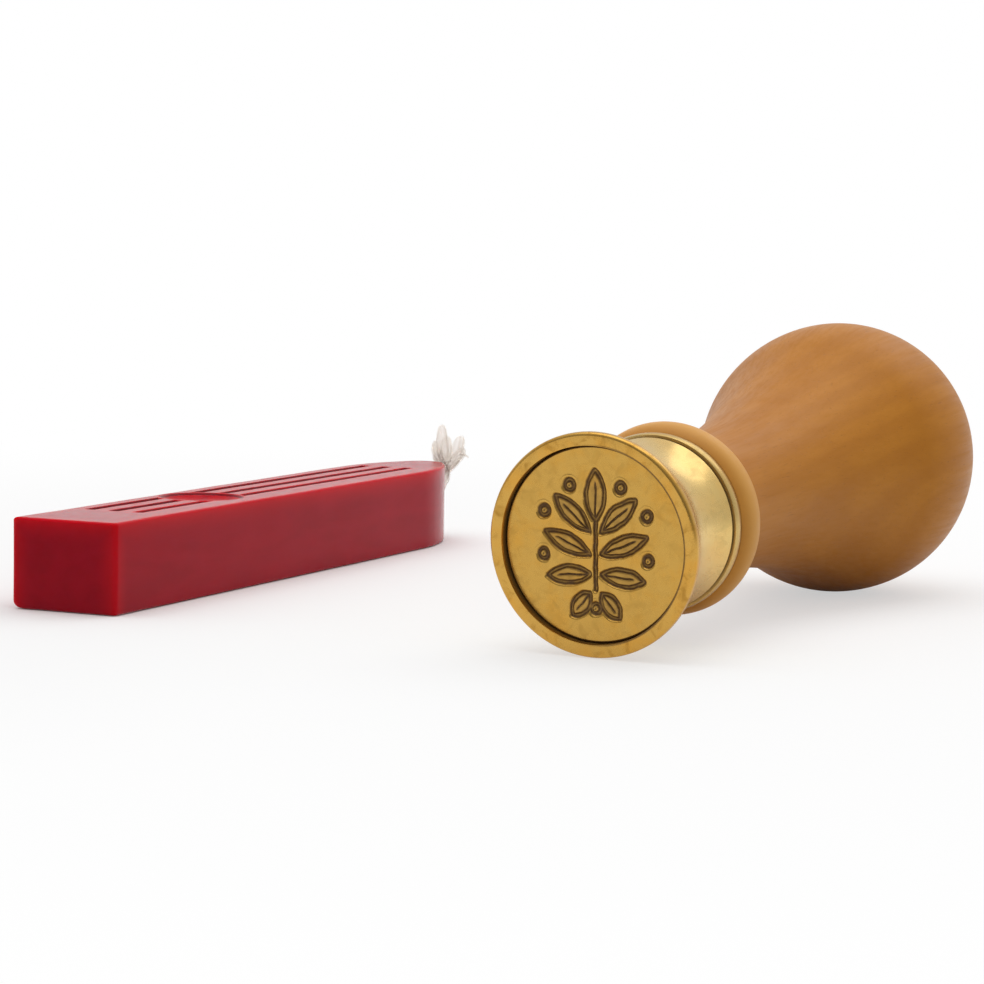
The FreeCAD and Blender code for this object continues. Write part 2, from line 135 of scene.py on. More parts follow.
# Cuts of the engraving; a burr is in shares of its line's depth and half width
ENGRAVING_DEPTH = 0.35
ENGRAVING_MARGIN = 3 * COIN_EDGE_CHAMFER
LEAF_HALF_WIDTH = 0.78
BUD_HALF_WIDTH = 1.15 * LEAF_HALF_WIDTH
BLADE_DEPTH = 0.3 * ENGRAVING_DEPTH
BLADE_SLOPE = 0.25
LINE_HALF_WIDTH = 0.36
STEM_HALF_WIDTH = 0.36
VEIN_HALF_WIDTH = 0.19
VEIN_DEPTH = 0.8 * ENGRAVING_DEPTH
VEIN_END_SHARES = (0.75, 0.35)
BERRY_RADIUS = 0.45
BERRY_DEPTH = 0.9 * ENGRAVING_DEPTH
PIP_RADIUS = 0.6 * BERRY_RADIUS
PIP_DEPTH = 0.5 * ENGRAVING_DEPTH
BURR_HEIGHT = 0.07
BURR_PLACE = 1.25
BURR_WIDTH = 0.22

# How the engraver's hand wanders (scale, amount, seed), and where patina stays in the cuts
HAND_WANDER = (0.9, 0.09, 3.0)
HAND_TREMOR = (3.0, 0.025, 8.0)
DEPTH_WANDER = (1.6, 0.2, 5.0)
MEAN_DEPTH_SHARE = 0.92
PATINA_SHARES = (0.12, 0.6)
BARE_SHARES = (0.7, 0.98)
BARE_PATINA = 0.5
# Grime and painted shade round the coin's edge, next to the recess wall, as insets from its radius
COIN_EDGE_SHADE_AND_GRIME = (0.2, 0.12)

# Wax stick
STICK_EDGE = 0.3
LEFT_TOP_EDGE = 0.7
LEFT_LOW_EDGE = 1.4
LEFT_SHARE = 0.7
BUTT_CORNER = 0.5
NOSE_LENGTH = 14.0
NOSE_TIP_RADIUS = 3.0
FLUTE_START = 10.6
FLUTE_END = 74.6
FLUTE_HALF_WIDTH = 0.575
FLUTE_DEPTH = 0.45
FLUTE_WALL = 0.09
FLUTE_SPACING = 2.85
PATTERN_ASIDE = -0.6
FLUTE_PLACES = [PATTERN_ASIDE + FLUTE_SPACING * number for number in (-1, 0, 1)]
MEDALLION_STATION = 29.0
MEDALLION_RADIUS = 4.6
MEDALLION_BORDER = 0.35
MEDALLION_DEPTH = 0.8
DISH_POWER = 5
MOULD_SOFTNESS = 0.13
UNEVEN_DEPTH = 0.035
UNEVEN_SCALE = 0.16
UNEVEN_SIDES = 2

# Points of the stick's sections, and lengths between the sections
EDGE_POINTS = 8
SIDE_POINTS = 9
FLAT_REACH = 5.0
TOP_POINTS = 101
UNDER_POINTS = 11
WALL_POINTS = 9
WALL_REACH = 2 * FLUTE_WALL
WALL_CLEARANCE = 2.3 * FLUTE_WALL
EDGE_CLEARANCE = 1.1
NARROW_SHARE = 0.6
FINE_STEP = 0.11
COARSE_STEP = 0.9
COARSE_START = 1.2
STEP_MARGIN = 0.3
FLUTE_END_REACH = 0.5
BUTT_SECTIONS = 13
TIP_SECTIONS = 22
LAST_TIP_ANGLE = 88.0

# Painted shade in the flutes, and painted glow for light passing through the wax between them and at its
# edges
FLUTE_SHADE_SHARE = 0.25
MEDALLION_SHARE = 0.93
LAND_REACH = (1.2, 0.2)
LAND_FADE = 1.0
EDGE_GLOW = 2.6

# Wick: its way out of the wax, and each ply's frayed end as points (aside and up in the plane that the
# wick leans in, and out of that plane) with the ply's half width there
WICK_HEIGHT = 4.65
WICK_BEND = 2.6
WICK_LEAN = math.radians(14.0)
WICK_SEED = 11
STAINED_LENGTH = 2.0
AIRY_LENGTHS = (0.5, 3.0)
PLIES = (
    ((-0.35, 4.3, 0.1, 0.6), (-1.05, 5.7, 0.15, 0.85), (-1.5, 7.2, 0.1, 0.75), (-1.85, 8.75, 0.0, 0.52)),
    ((-0.1, 4.4, -0.2, 0.6), (-0.45, 5.6, -0.25, 0.85), (-0.65, 6.6, -0.2, 0.78), (-0.7, 7.6, -0.1, 0.56)),
    ((-0.75, 4.4, -0.1, 0.5), (-1.45, 5.2, -0.2, 0.6), (-1.9, 5.9, -0.2, 0.56), (-2.15, 6.6, -0.1, 0.42)),
    ((-0.55, 4.0, 0.1, 0.5), (-1.15, 4.5, 0.15, 0.6), (-1.6, 4.6, 0.15, 0.55), (-2.0, 4.5, 0.1, 0.38)),
    ((0.45, 4.3, 0.1, 0.6), (0.75, 5.4, 0.15, 0.85), (0.98, 6.8, 0.1, 0.82), (1.05, 8.15, 0.1, 0.62)),
    ((0.65, 4.2, -0.2, 0.55), (1.2, 5.2, -0.25, 0.62), (1.55, 6.0, -0.2, 0.56), (1.75, 6.8, -0.1, 0.42)),
)
STEM_ROOT = -2.0
STEM_RISE = 0.5
STEM_POINTS = 9
LINE_SMOOTHING = 3
PLY_HALF_WIDTH = 0.42
PLY_OFFSET = 0.4
PLY_FLATNESS = 0.72
PLY_TWIST_LENGTH = 9.0
PLY_SIDES = 40
PLY_ROWS = 64
PLY_ROW_POWER = 1.5
RING_SKEW = 0.2
BLUNT_SHARE = 0.1
BLUNTEST = 0.01
MERGE_STEP = 0.07
MERGE_SMOOTHING = 3

# Ridges of the plies (scale around, scale along, shift for each ply, height) and their turn along the ply
RIDGES = ((2.4, 5, 7, 0.2), (6.5, 7, 5, 0.1))
RIDGE_TURN = 2.5

# Loose fibres: ranges that each fibre is drawn from, in shares of its ply, and its shape
FIBRES_PER_PLY = 46
FIBRE_STARTS = (0.55, 0.85)
FIBRE_REACHES = (0.12, 0.35)
FIBRE_PLACES = (0.85, 1.05)
FIBRE_SEEDS = (0, 90)
FIBRE_SIZES = (0.7, 1.2)
FIBRE_RADIUS = 0.04
FIBRE_TIP = 0.45
FIBRE_TURN = 3
CURL_SCALE = 9
CURL_REACH = 0.3

# Stray threads at the right: where the first starts, how far apart they are, and their shape
WHISKERS = 3
WHISKER_ASIDE = 1.7
WHISKER_RISE = 5.9
WHISKER_STEP_OUT = 0.05
WHISKER_STEP_UP = 0.06
WHISKER_LENGTH = 1.0
WHISKER_ARCH = 0.12
WHISKER_RADIUS = 0.1
WHISKER_TIP = 0.4

# Brasses: colour, warmer clouds, darker smudges, roughness, and how strong the smudges are
BRASSES = {
    "golden_brass": ((0.59, 0.346, 0.078), (0.61, 0.328, 0.060), (0.43, 0.244, 0.052), 0.26, 0.35),
    "rim_brass": ((0.63, 0.364, 0.082), (0.65, 0.342, 0.062), (0.42, 0.210, 0.034), 0.25, 0.8),
    "pale_brass": ((0.76, 0.530, 0.190), (0.79, 0.520, 0.170), (0.55, 0.40, 0.14), 0.24, 0.5),
    "plain_brass": ((0.66, 0.47, 0.18), (0.68, 0.46, 0.15), (0.45, 0.32, 0.12), 0.3, 0.35),
}

# Camera, in millimetres from the stick's butt and in degrees
CAMERA_ASIDE = 167.23
CAMERA_BEHIND = 268.88
CAMERA_HEIGHT = 42.27
CAMERA_HEADING = 24.13
CAMERA_PITCH = 5.36
CAMERA_ROLL = 1.0
CAMERA_LENS = 115.72

# Studio, in metres: how much of the shadow the floor shows from the stick to the stamp, and mirrored in
# the object from its front to its middle; the world's levels; lights with place, aim, size and watts
FLOOR_REACH = 6.0
FLOOR_GAP = 0.05 * MM
FLOOR_BOUNCE = 0.62
STICK_TO_STAMP = (-0.03, 0.015)
SEEN_SHADOWS = (1.0, 0.45)
FRONT_TO_MIDDLE = (-0.046, -0.03)
MIRRORED_SHADOWS = (0.5, 0.95)
SHADOW_FADE = (0.06, 0.2)
BACKWARD = (-0.25, 0.75, 0.61)
FRONT_TO_BACK = (-0.9, 0.9)
WORLD_LEVELS = (0.2, 0.8)
SOFTBOXES = {
    "overhead": ((-0.05, -0.08, 1.0), (0.0, 0.0, 0.0), 0.95, 3.2),
    "back": ((0.18, 0.46, 0.55), (0.0, 0.0, 0.01), 0.42, 0.5),
}

# The stamp's frame comes from the joint that its coin turns on, and the stick's from its box
coin_turn = next(joint for joint in frame["joints"] if joint["name"] == "coin_turn")
outward = Vector(coin_turn["axis"]).normalized()
rightward = Vector((0, 0, 1)).cross(outward).normalized()
stamp_frame = Matrix((rightward, outward.cross(rightward), outward)).transposed().to_4x4()
stamp_frame.translation = Vector(coin_turn["pos_m"])
stick_low, stick_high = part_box("wax_body")
stick_size = (stick_high - stick_low) / MM
stick_frame = Matrix.Translation(((stick_low.x + stick_high.x) / 2, stick_low.y, stick_low.z))

# Directions of the leaning wick in the stick's frame, and where it leaves the wax
wick_up = np.array((math.sin(WICK_LEAN), 0, math.cos(WICK_LEAN)))
wick_aside = np.array((math.cos(WICK_LEAN), 0, -math.sin(WICK_LEAN)))
wick_out = np.array((0, 1, 0))
wick_root = np.array((0, stick_size.y, WICK_HEIGHT))


def stations(node):
    """Front and back station of a node of the stamp, and its greatest radius."""
    to_stamp = stamp_frame.inverted()
    points = np.array([to_stamp @ vertex.co for vertex in frame["nodes"][node].data.vertices]) / MM
    return -points[:, 2].max(), -points[:, 2].min(), np.hypot(points[:, 0], points[:, 1]).max()


_, cup_back, rim_radius = stations("seal_cup")
coin_front, coin_back, coin_radius = stations("seal_coin")
ferrule_front, shoulder, flare_radius = stations("ferrule")
tenon_front, bulb_end, bulb_radius = stations("handle")


# Outlines of (radius, station) points, turned about the stamp's axis

def add_arc(outline, end, radius, side, steps):
    """Add a short arc to an outline, with its centre left (1) or right (-1) of the way to its end."""
    start, end = np.array(outline[-1], float), np.array(end, float)
    chord = end - start
    across = np.array((-chord[1], chord[0])) / np.linalg.norm(chord) * side
    centre = (start + end) / 2 + across * math.sqrt(max(radius ** 2 - chord @ chord / 4, 0))
    first, last = (math.atan2(*(point - centre)[::-1]) for point in (start, end))
    sweep = (last - first + math.pi) % math.tau - math.pi
    angles = first + sweep * np.arange(1, steps + 1) / steps
    outline.extend(zip(centre[0] + radius * np.cos(angles), centre[1] + radius * np.sin(angles)))


def level_arc_radius(along, rise):
    """The radius of an arc that starts level and climbs a rise over a length."""
    return (along ** 2 + rise ** 2) / (2 * rise)


def bridge(crest, valley):
    """Radius of a valley's arc, and the point where it touches a crest's arc.

    A crest is a station, a reach and an arc radius; a valley is a station and a reach."""
    station, reach, round_radius = crest
    along = valley[0] - station
    drop = valley[1] - reach + round_radius
    hollow = (along ** 2 + drop ** 2 - round_radius ** 2) / (2 * (reach - valley[1]))
    share = round_radius / (round_radius + hollow)
    return hollow, (reach - round_radius + (drop + hollow) * share, station + along * share)


def soften(outline, radius, closed=True, sharp=0.5, steps=4, longest=0.45):
    """Round the sharp corners of an outline, each with no more than a share of its sides."""
    ends = [] if closed else [outline[-1]]
    soft = [] if closed else [outline[0]]
    size = len(outline)
    for index in range(size) if closed else range(1, size - 1):
        corner = Vector(outline[index])
        before = Vector(outline[index - 1]) - corner
        after = Vector(outline[(index + 1) % size]) - corner
        turn = math.pi - before.angle(after)
        if turn < sharp:
            soft.append(tuple(corner))
            continue
        cut = min(radius * math.tan(turn / 2), before.length * longest, after.length * longest)
        first = corner + before.normalized() * cut
        last = corner + after.normalized() * cut
        for share in np.linspace(0, 1, steps + 1):
            soft.append(tuple(first.lerp(corner, share).lerp(corner.lerp(last, share), share)))
    return soft + ends


def handle_outline():
    """Bored tenon, rounded collar, long hollow neck and bulb."""
    collar_round = level_arc_radius(COLLAR_STATION, COLLAR_RADIUS - COLLAR_LIP_RADIUS)
    collar = (shoulder + COLLAR_STATION, COLLAR_RADIUS, collar_round)
    neck = (shoulder + NECK_STATION, NECK_RADIUS)
    bulb_middle = bulb_end - bulb_radius
    cove_radius, cove_touch = bridge(collar, neck)
    neck_arc, neck_touch = bridge((bulb_middle, bulb_radius, BULB_FRONT_RADIUS), neck)
    bore_end = tenon_front + INSERT_BORE_DEPTH
    outline = soften([
        (0, bore_end),
        (INSERT_BORE_RADIUS, bore_end),
        (INSERT_BORE_RADIUS, tenon_front),
        (TENON_RADIUS, tenon_front),
        (TENON_RADIUS, shoulder),
        (COLLAR_LIP_RADIUS, shoulder),
    ], WOOD_EDGE, closed=False)
    add_arc(outline, cove_touch, collar_round, 1, steps=20)
    add_arc(outline, neck[::-1], cove_radius, -1, steps=24)
    add_arc(outline, neck_touch, neck_arc, -1, steps=40)
    add_arc(outline, (bulb_radius, bulb_middle), BULB_FRONT_RADIUS, 1, steps=32)
    add_arc(outline, (0, bulb_end), bulb_radius, 1, steps=44)
    return outline


def ferrule_outline():
    """Flared front, waist, sunk groove and a crowned bead against the wood."""
    waist = (WAIST_RADIUS, ferrule_front + WAIST_STATION)
    bead_front = shoulder - BEAD_WIDTH
    rear = (FERRULE_REAR_RADIUS, bead_front - GROOVE_WIDTH)
    groove_floor = FERRULE_REAR_RADIUS - GROOVE_DEPTH
    flare_arc = level_arc_radius(WAIST_STATION, flare_radius - WAIST_RADIUS)
    rear_arc = level_arc_radius(rear[1] - waist[1], FERRULE_REAR_RADIUS - WAIST_RADIUS)
    bead_arc = level_arc_radius(BEAD_WIDTH / 2, BEAD_CROWN)
    outline = [(FERRULE_BORE_RADIUS, ferrule_front), (flare_radius, ferrule_front)]
    add_arc(outline, waist, flare_arc, -1, steps=20)
    add_arc(outline, rear, rear_arc, -1, steps=20)
    outline += [(groove_floor, rear[1]), (groove_floor, bead_front), (BEAD_EDGE_RADIUS, bead_front)]
    add_arc(outline, (BEAD_EDGE_RADIUS, shoulder), bead_arc, 1, steps=12)
    return soften(outline + [(FERRULE_BORE_RADIUS, shoulder)], METAL_EDGE)


def cup_outline():
    """Flat rim with softened edges, round recess for the coin, holed floor and rounded back."""
    flat = rim_radius - RIM_EDGE_RADIUS
    round_start = RIM_THICKNESS + CUP_STRAIGHT
    back_round = level_arc_radius(cup_back - round_start, CUP_RADIUS - flare_radius)
    outline = [(CUP_HOLE_RADIUS, coin_back), (RECESS_RADIUS, coin_back)]
    outline += [(RECESS_RADIUS, coin_front * share) for share in np.linspace(1, 0, RECESS_ROWS)]
    outline += [(RECESS_RADIUS + reach, 0) for reach in (EDGE_LINE, 2 * EDGE_LINE)] + [(flat, 0)]
    add_arc(outline, (rim_radius, RIM_EDGE_RADIUS), RIM_EDGE_RADIUS, 1, steps=6)
    outline.append((rim_radius, RIM_THICKNESS - RIM_EDGE_RADIUS))
    add_arc(outline, (flat, RIM_THICKNESS), RIM_EDGE_RADIUS, 1, steps=6)
    outline += [(CUP_RADIUS, RIM_THICKNESS), (CUP_RADIUS, round_start)]
    add_arc(outline, (flare_radius, cup_back), back_round, 1, steps=12)
    return soften(outline + [(CUP_HOLE_RADIUS, cup_back)], METAL_EDGE)


def coin_outline():
    """Face in fine rings for the engraving, chamfered edge, and a seat for the stud behind."""
    face_radius = coin_radius - COIN_EDGE_CHAMFER
    seat = coin_back - STUD_SEAT_DEPTH
    return [(radius, coin_front) for radius in np.linspace(0, face_radius, COIN_RINGS)] + [
        (coin_radius, coin_front + COIN_EDGE_CHAMFER),
        (coin_radius, coin_back),
        (STUD_RADIUS, coin_back),
        (STUD_RADIUS, seat),
        (0, seat),
    ]


def turned_mesh(name, outline, segments=256, closed=True):
    """A mesh in the stamp's frame from an outline turned about its axis, with its poles closed."""
    rings = np.array(outline)
    angles = np.arange(segments) * math.tau / segments
    points = np.empty((len(rings), segments, 3))
    points[:, :, 0] = rings[:, :1] * np.cos(angles)
    points[:, :, 1] = rings[:, :1] * np.sin(angles)
    points[:, :, 2] = -rings[:, 1:]
    return grid_mesh(name, points, closed)


def ring_faces(rings, closed=False, caps=()):
    """Faces between rows of points, each row a closed ring, with flat caps on the rows named."""
    rows, columns, _ = rings.shape
    row, column = np.meshgrid(np.arange(rows if closed else rows - 1), np.arange(columns), indexing="ij")
    after_row, after_column = (row + 1) % rows, (column + 1) % columns
    faces = np.stack([
        row * columns + column,
        row * columns + after_column,
        after_row * columns + after_column,
        after_row * columns + column,
    ], -1).reshape(-1, 4).tolist()
    return faces + [list(range(cap * columns, (cap + 1) * columns)) for cap in caps]


def grid_mesh(name, rings, closed=False, caps=()):
    """A mesh through rings of points, with equal points joined and sharp edges marked."""
    mesh = bpy.data.meshes.new(name)
    mesh.from_pydata(rings.reshape(-1, 3) * MM, [], ring_faces(rings, closed, caps))
    tidy = bmesh.new()
    tidy.from_mesh(mesh)
    bmesh.ops.remove_doubles(tidy, verts=tidy.verts, dist=MM * SAME_POINT)
    bmesh.ops.recalc_face_normals(tidy, faces=tidy.faces)
    for edge in tidy.edges:
        edge.smooth = edge.calc_face_angle(0) < math.radians(SHARP_EDGE)
    tidy.to_mesh(mesh)
    tidy.free()
    mesh.shade_smooth()
    return mesh


def mesh_points(mesh):
    """A mesh's vertices in millimetres."""
    flat = np.empty(len(mesh.vertices) * 3)
    mesh.vertices.foreach_get("co", flat)
    return flat.reshape(-1, 3) / MM


def profile(mesh):
    """Radius and station of each vertex of a piece of the stamp."""
    x, y, z = mesh_points(mesh).T
    return np.hypot(x, y), -z


def mark(mesh, name, values):
    """Give each vertex a number that the finish reads."""
    layer = mesh.attributes.new(name, "FLOAT", "POINT")
    layer.data.foreach_set("value", np.clip(values, 0, 1).astype(np.float32))


def ramp(values, start, end):
    """Smooth step of the values from 0 at start to 1 at end."""
    share = np.clip((values - start) / (end - start), 0, 1)
    return share * share * (3 - 2 * share)


def add_object(name, data):
    """Add a new object to the scene."""
    item = bpy.data.objects.new(name, data)
    bpy.context.scene.collection.objects.link(item)
    return item


def add_piece(mesh, finish, place, body, node):
    """Add a mesh that was drawn in one of the two frames as a piece of a body, with the mesh's name."""
    mesh.transform(place)
    mesh.materials.append(finish)
    piece = add_object(mesh.name, mesh)
    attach(piece, body)
    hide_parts(node)


# The engraving on the coin's face

def wobble(points, scale, amount, seed):
    """Two smooth shifts for each point, as a hand-held tool wanders."""
    shifts = [noise.noise_vector(Vector((x * scale, y * scale, seed))) for x, y in points]
    return np.array(shifts)[:, :2] * amount


def line_depth(distance, half_width, depth):
    """Rounded groove with a faint raised burr along its sides."""
    share = np.abs(distance) / half_width
    groove = np.where(share < 1, (1 - share ** 2) ** 2, 0)
    burr = BURR_HEIGHT * np.exp(-((share - BURR_PLACE) / BURR_WIDTH) ** 2)
    return depth * (groove - burr)


def leaf_cut(points, foot, angle, length, half_width):
    """Cut outline, sunk blade and middle vein of one pointed leaf, turned from upright."""
    turn = math.radians(angle)
    half_length = length / 2
    offset = points - np.array(foot)
    along = offset @ (math.sin(turn), math.cos(turn)) - half_length
    aside = np.abs(offset @ (math.cos(turn), -math.sin(turn)))
    arc_radius = level_arc_radius(half_length, half_width)
    arc_offset = arc_radius - half_width
    past_tip = (np.abs(along) - half_length) * arc_offset > aside * half_length
    to_tip = np.hypot(aside, np.abs(along) - half_length)
    to_side = np.hypot(aside + arc_offset, along) - arc_radius
    distance = np.where(past_tip, to_tip, to_side)
    outline = line_depth(distance, LINE_HALF_WIDTH, ENGRAVING_DEPTH)
    blade = BLADE_DEPTH * ramp(distance, 0, -BLADE_SLOPE)
    vein = line_depth(aside, VEIN_HALF_WIDTH, VEIN_DEPTH) * (distance < 0)
    vein *= ramp(along / half_length, *VEIN_END_SHARES)
    return np.max([outline, blade, vein], axis=0)


def engraving_cuts(points):
    """Cuts of the sprig: stem, bud, four pairs of leaves and berries."""
    height = SPRIG_HEIGHT
    low, high = (height * share for share in STEM_SHARES)
    beyond = np.maximum(np.maximum(low - points[:, 1], points[:, 1] - high), 0)
    yield line_depth(np.hypot(points[:, 0], beyond), STEM_HALF_WIDTH, ENGRAVING_DEPTH)
    yield leaf_cut(points, (0, height * BUD_SHARES[0]), 0.0, height * BUD_SHARES[1], BUD_HALF_WIDTH)
    berries = [(0, FOOT_BERRY_SHARE)]
    for sign in (-1, 1):
        for foot_share, angle, length_share in LEAF_SHARES:
            foot = (height * sign * LEAF_ASIDE_SHARE, height * foot_share)
            yield leaf_cut(points, foot, sign * angle, height * length_share, LEAF_HALF_WIDTH)
        berries += [(sign * across, up) for across, up in BERRY_SHARES]
    for across, up in berries:
        distance = np.hypot(points[:, 0] - height * across, points[:, 1] - height * up)
        yield line_depth(distance - BERRY_RADIUS, LINE_HALF_WIDTH, BERRY_DEPTH)
        yield line_depth(distance, PIP_RADIUS, PIP_DEPTH)


def make_coin(finish):
    mesh = turned_mesh("engraved_coin", coin_outline(), COIN_SEGMENTS, closed=False)
    points = mesh_points(mesh)
    face = np.abs(points[:, 2] + coin_front) < 10 * SAME_POINT
    flat = points[face, :2]
    drawn = flat + wobble(flat, *HAND_WANDER) + wobble(flat, *HAND_TREMOR)
    cuts = np.array(list(engraving_cuts(drawn)))
    depth = cuts.max(axis=0)
    hand = MEAN_DEPTH_SHARE + wobble(flat, *DEPTH_WANDER)[:, 0]
    depth = np.where(depth > 0, depth * hand, cuts.min(axis=0))
    depth *= np.hypot(*flat.T) < coin_radius - ENGRAVING_MARGIN
    points[face, 2] -= depth
    mesh.vertices.foreach_set("co", (points * MM).ravel())
    depth_share = depth / ENGRAVING_DEPTH
    grime_and_shade = np.zeros(len(points))
    grime_and_shade[face] = ramp(depth_share, *PATINA_SHARES) * (1 - BARE_PATINA * ramp(depth_share, *BARE_SHARES))
    # Grime and painted shade on the coin's edge, where it meets the recess wall
    edge_start, edge_end = (coin_radius - inset for inset in COIN_EDGE_SHADE_AND_GRIME)
    edge = ramp(np.hypot(points[:, 0], points[:, 1]), edge_start, edge_end)
    mark(mesh, "grime_and_shade", np.maximum(grime_and_shade, edge))
    mesh.update()
    add_piece(mesh, finish, stamp_frame, "coin", "seal_coin")


def make_cup(finish):
    mesh = turned_mesh("rimmed_cup", cup_outline())
    radius, station = profile(mesh)
    # Painted shade down the recess wall, and a line of grime and painted shade round the coin's edge,
    # darker towards the right
    wall = ramp(station / coin_front, *WALL_SHARES) * (radius < RECESS_RADIUS + METAL_EDGE)
    line = ramp(mesh_points(mesh)[:, 0] / rim_radius, *LINE_SHARES)
    line *= radius < RECESS_RADIUS + LINE_REACH
    recess = RECESS_SHADE_AND_GRIME * np.maximum(wall, line) * (station < coin_back + METAL_EDGE)
    # Painted shade in the seam against the ferrule
    seam = CUP_SEAM_SHADE * ramp(station, cup_back - CUP_SEAM_WIDTH, cup_back)
    seam *= ramp(radius, CUP_HOLE_RADIUS, flare_radius)
    # Painted shade in the crease behind the rim
    lip = LIP_SHADE * np.exp(-((station - RIM_THICKNESS) / LIP_SHADE_WIDTH) ** 2)
    lip *= radius < rim_radius - LIP_SHADE_INSET
    mark(mesh, "grime_and_shade", np.max([recess, seam, lip], axis=0))
    add_piece(mesh, finish, stamp_frame, "cup", "seal_cup")


def make_ferrule(finish):
    mesh = turned_mesh("brass_ferrule", ferrule_outline())
    radius, station = profile(mesh)
    groove_middle = shoulder - BEAD_WIDTH - GROOVE_WIDTH / 2
    groove = GROOVE_GRIME * (np.abs(station - groove_middle) < GROOVE_GRIME_REACH)
    groove *= radius < FERRULE_REAR_RADIUS - GROOVE_GRIME_INSET
    # Painted dark reflection with tarnish over the bead
    bead = BEAD_TARNISH_AND_REFLECTION * (station > shoulder - BEAD_WIDTH)
    # Painted shade at the seams against the cup and the wood
    front_seam = ramp(station, ferrule_front + FRONT_SEAM_WIDTH, ferrule_front)
    front_seam *= ramp(radius, FERRULE_BORE_RADIUS, flare_radius)
    seams = np.maximum(front_seam, ramp(station, shoulder - REAR_SEAM_WIDTH, shoulder))
    mark(mesh, "grime_and_shade", np.max([groove, bead, FERRULE_SEAM_SHADE * seams], axis=0))
    add_piece(mesh, finish, stamp_frame, "stamp", "ferrule")


def make_handle(finish):
    mesh = turned_mesh("turned_handle", handle_outline(), closed=False)
    _, station = profile(mesh)
    # Painted shade at the seam against the ferrule, fainter on the hidden tenon
    seam = ramp(station, shoulder + WOOD_SEAM_WIDTH, shoulder)
    mark(mesh, "grime_and_shade", seam * np.where(station < shoulder - WOOD_EDGE, TENON_SHADE, 1.0))
    # Collar's crest lighter: rubbed wear and a painted highlight
    crest = (station - shoulder) / COLLAR_STATION
    rubbed_and_highlight = LIP_RUB_AND_HIGHLIGHT + (1 - LIP_RUB_AND_HIGHLIGHT) * ramp(crest, 0, RUB_AND_HIGHLIGHT_FULL_SHARE)
    mark(mesh, "rubbed_and_highlight", rubbed_and_highlight * (1 - ramp(crest, *RUB_AND_HIGHLIGHT_FADE_SHARES)))
    add_piece(mesh, finish, stamp_frame, "stamp", "handle")


# The wax stick

class Plan:
    """Outline of the stick seen from above: straight sides, bow-shaped nose and rounded butt corners."""

    half = stick_size.x / 2
    length = stick_size.y
    height = stick_size.z
    straight = length - NOSE_LENGTH
    tip_middle = length - NOSE_TIP_RADIUS
    bow = NOSE_LENGTH - NOSE_TIP_RADIUS
    side_radius = (bow ** 2 + half ** 2 - NOSE_TIP_RADIUS ** 2) / (2 * (half - NOSE_TIP_RADIUS))
    touch_share = side_radius / (side_radius - NOSE_TIP_RADIUS)
    touch_along = straight + bow * touch_share
    touch_aside = half - side_radius + (side_radius - half) * touch_share
    tip_slope = (touch_along - tip_middle) / touch_aside

    @classmethod
    def half_width(cls, along):
        """Half the stick's width at a length from its butt."""
        if along < BUTT_CORNER:
            return cls.half - BUTT_CORNER + math.sqrt(BUTT_CORNER ** 2 - (BUTT_CORNER - along) ** 2)
        if along < cls.straight:
            return cls.half
        if along < cls.touch_along:
            past = along - cls.straight
            return cls.half - cls.side_radius + math.sqrt(cls.side_radius ** 2 - past ** 2)
        return math.sqrt(max(NOSE_TIP_RADIUS ** 2 - (along - cls.tip_middle) ** 2, 0))

    @classmethod
    def side_distance(cls, aside, along):
        """How far each point lies inside the sides and the nose."""
        aside = np.abs(aside)
        bow_side = cls.side_radius - np.hypot(aside - cls.half + cls.side_radius, along - cls.straight)
        tip = NOSE_TIP_RADIUS - np.hypot(aside, along - cls.tip_middle)
        nose = np.where(along - cls.tip_middle > cls.tip_slope * aside, tip, bow_side)
        return np.maximum(np.where(along > cls.straight, nose, cls.half - aside), 0)

    @classmethod
    def butt_distance(cls, aside, along):
        """How far each point lies inside the butt and its rounded corners."""
        past = np.abs(aside) - cls.half + BUTT_CORNER
        corner = BUTT_CORNER - np.hypot(past, along - BUTT_CORNER)
        at_corner = (along < BUTT_CORNER) & (past > 0)
        return np.maximum(np.where(at_corner, corner, along), 0)

    @classmethod
    def edge_drop(cls, aside, along, left_edge):
        """How far the rounded edges fall below their flat, rounder on the left than on the right."""
        left = ramp(aside, 0, -cls.half * LEFT_SHARE)
        side_radius = STICK_EDGE + (left_edge - STICK_EDGE) * left
        side = round_drop(cls.side_distance(aside, along), side_radius)
        return np.maximum(side, round_drop(cls.butt_distance(aside, along), STICK_EDGE))


def round_drop(distance, radius):
    """How far a rounded edge falls below its flat at a distance inside the outline."""
    inside = np.minimum(distance, radius)
    return radius - np.sqrt(radius ** 2 - (radius - inside) ** 2)


def sunk_depth(aside, along):
    """Depth of the flutes and the medallion below the stick's top, with the soft walls of a mould."""
    soft = MOULD_SOFTNESS
    from_middle = np.hypot(aside - PATTERN_ASIDE, along - MEDALLION_STATION)
    fluted = ramp(along, FLUTE_START - soft, FLUTE_START + soft * 2)
    fluted *= ramp(along, FLUTE_END + soft, FLUTE_END - soft * 2)
    fluted *= ramp(from_middle - MEDALLION_RADIUS - MEDALLION_BORDER, -soft, soft)
    depth = MEDALLION_DEPTH * np.clip(1 - (from_middle / MEDALLION_RADIUS) ** DISH_POWER, 0, 1)
    for place in FLUTE_PLACES:
        inside = FLUTE_HALF_WIDTH - np.abs(aside - place)
        depth = np.maximum(depth, FLUTE_DEPTH * fluted * ramp(inside, -FLUTE_WALL, FLUTE_WALL))
    return depth


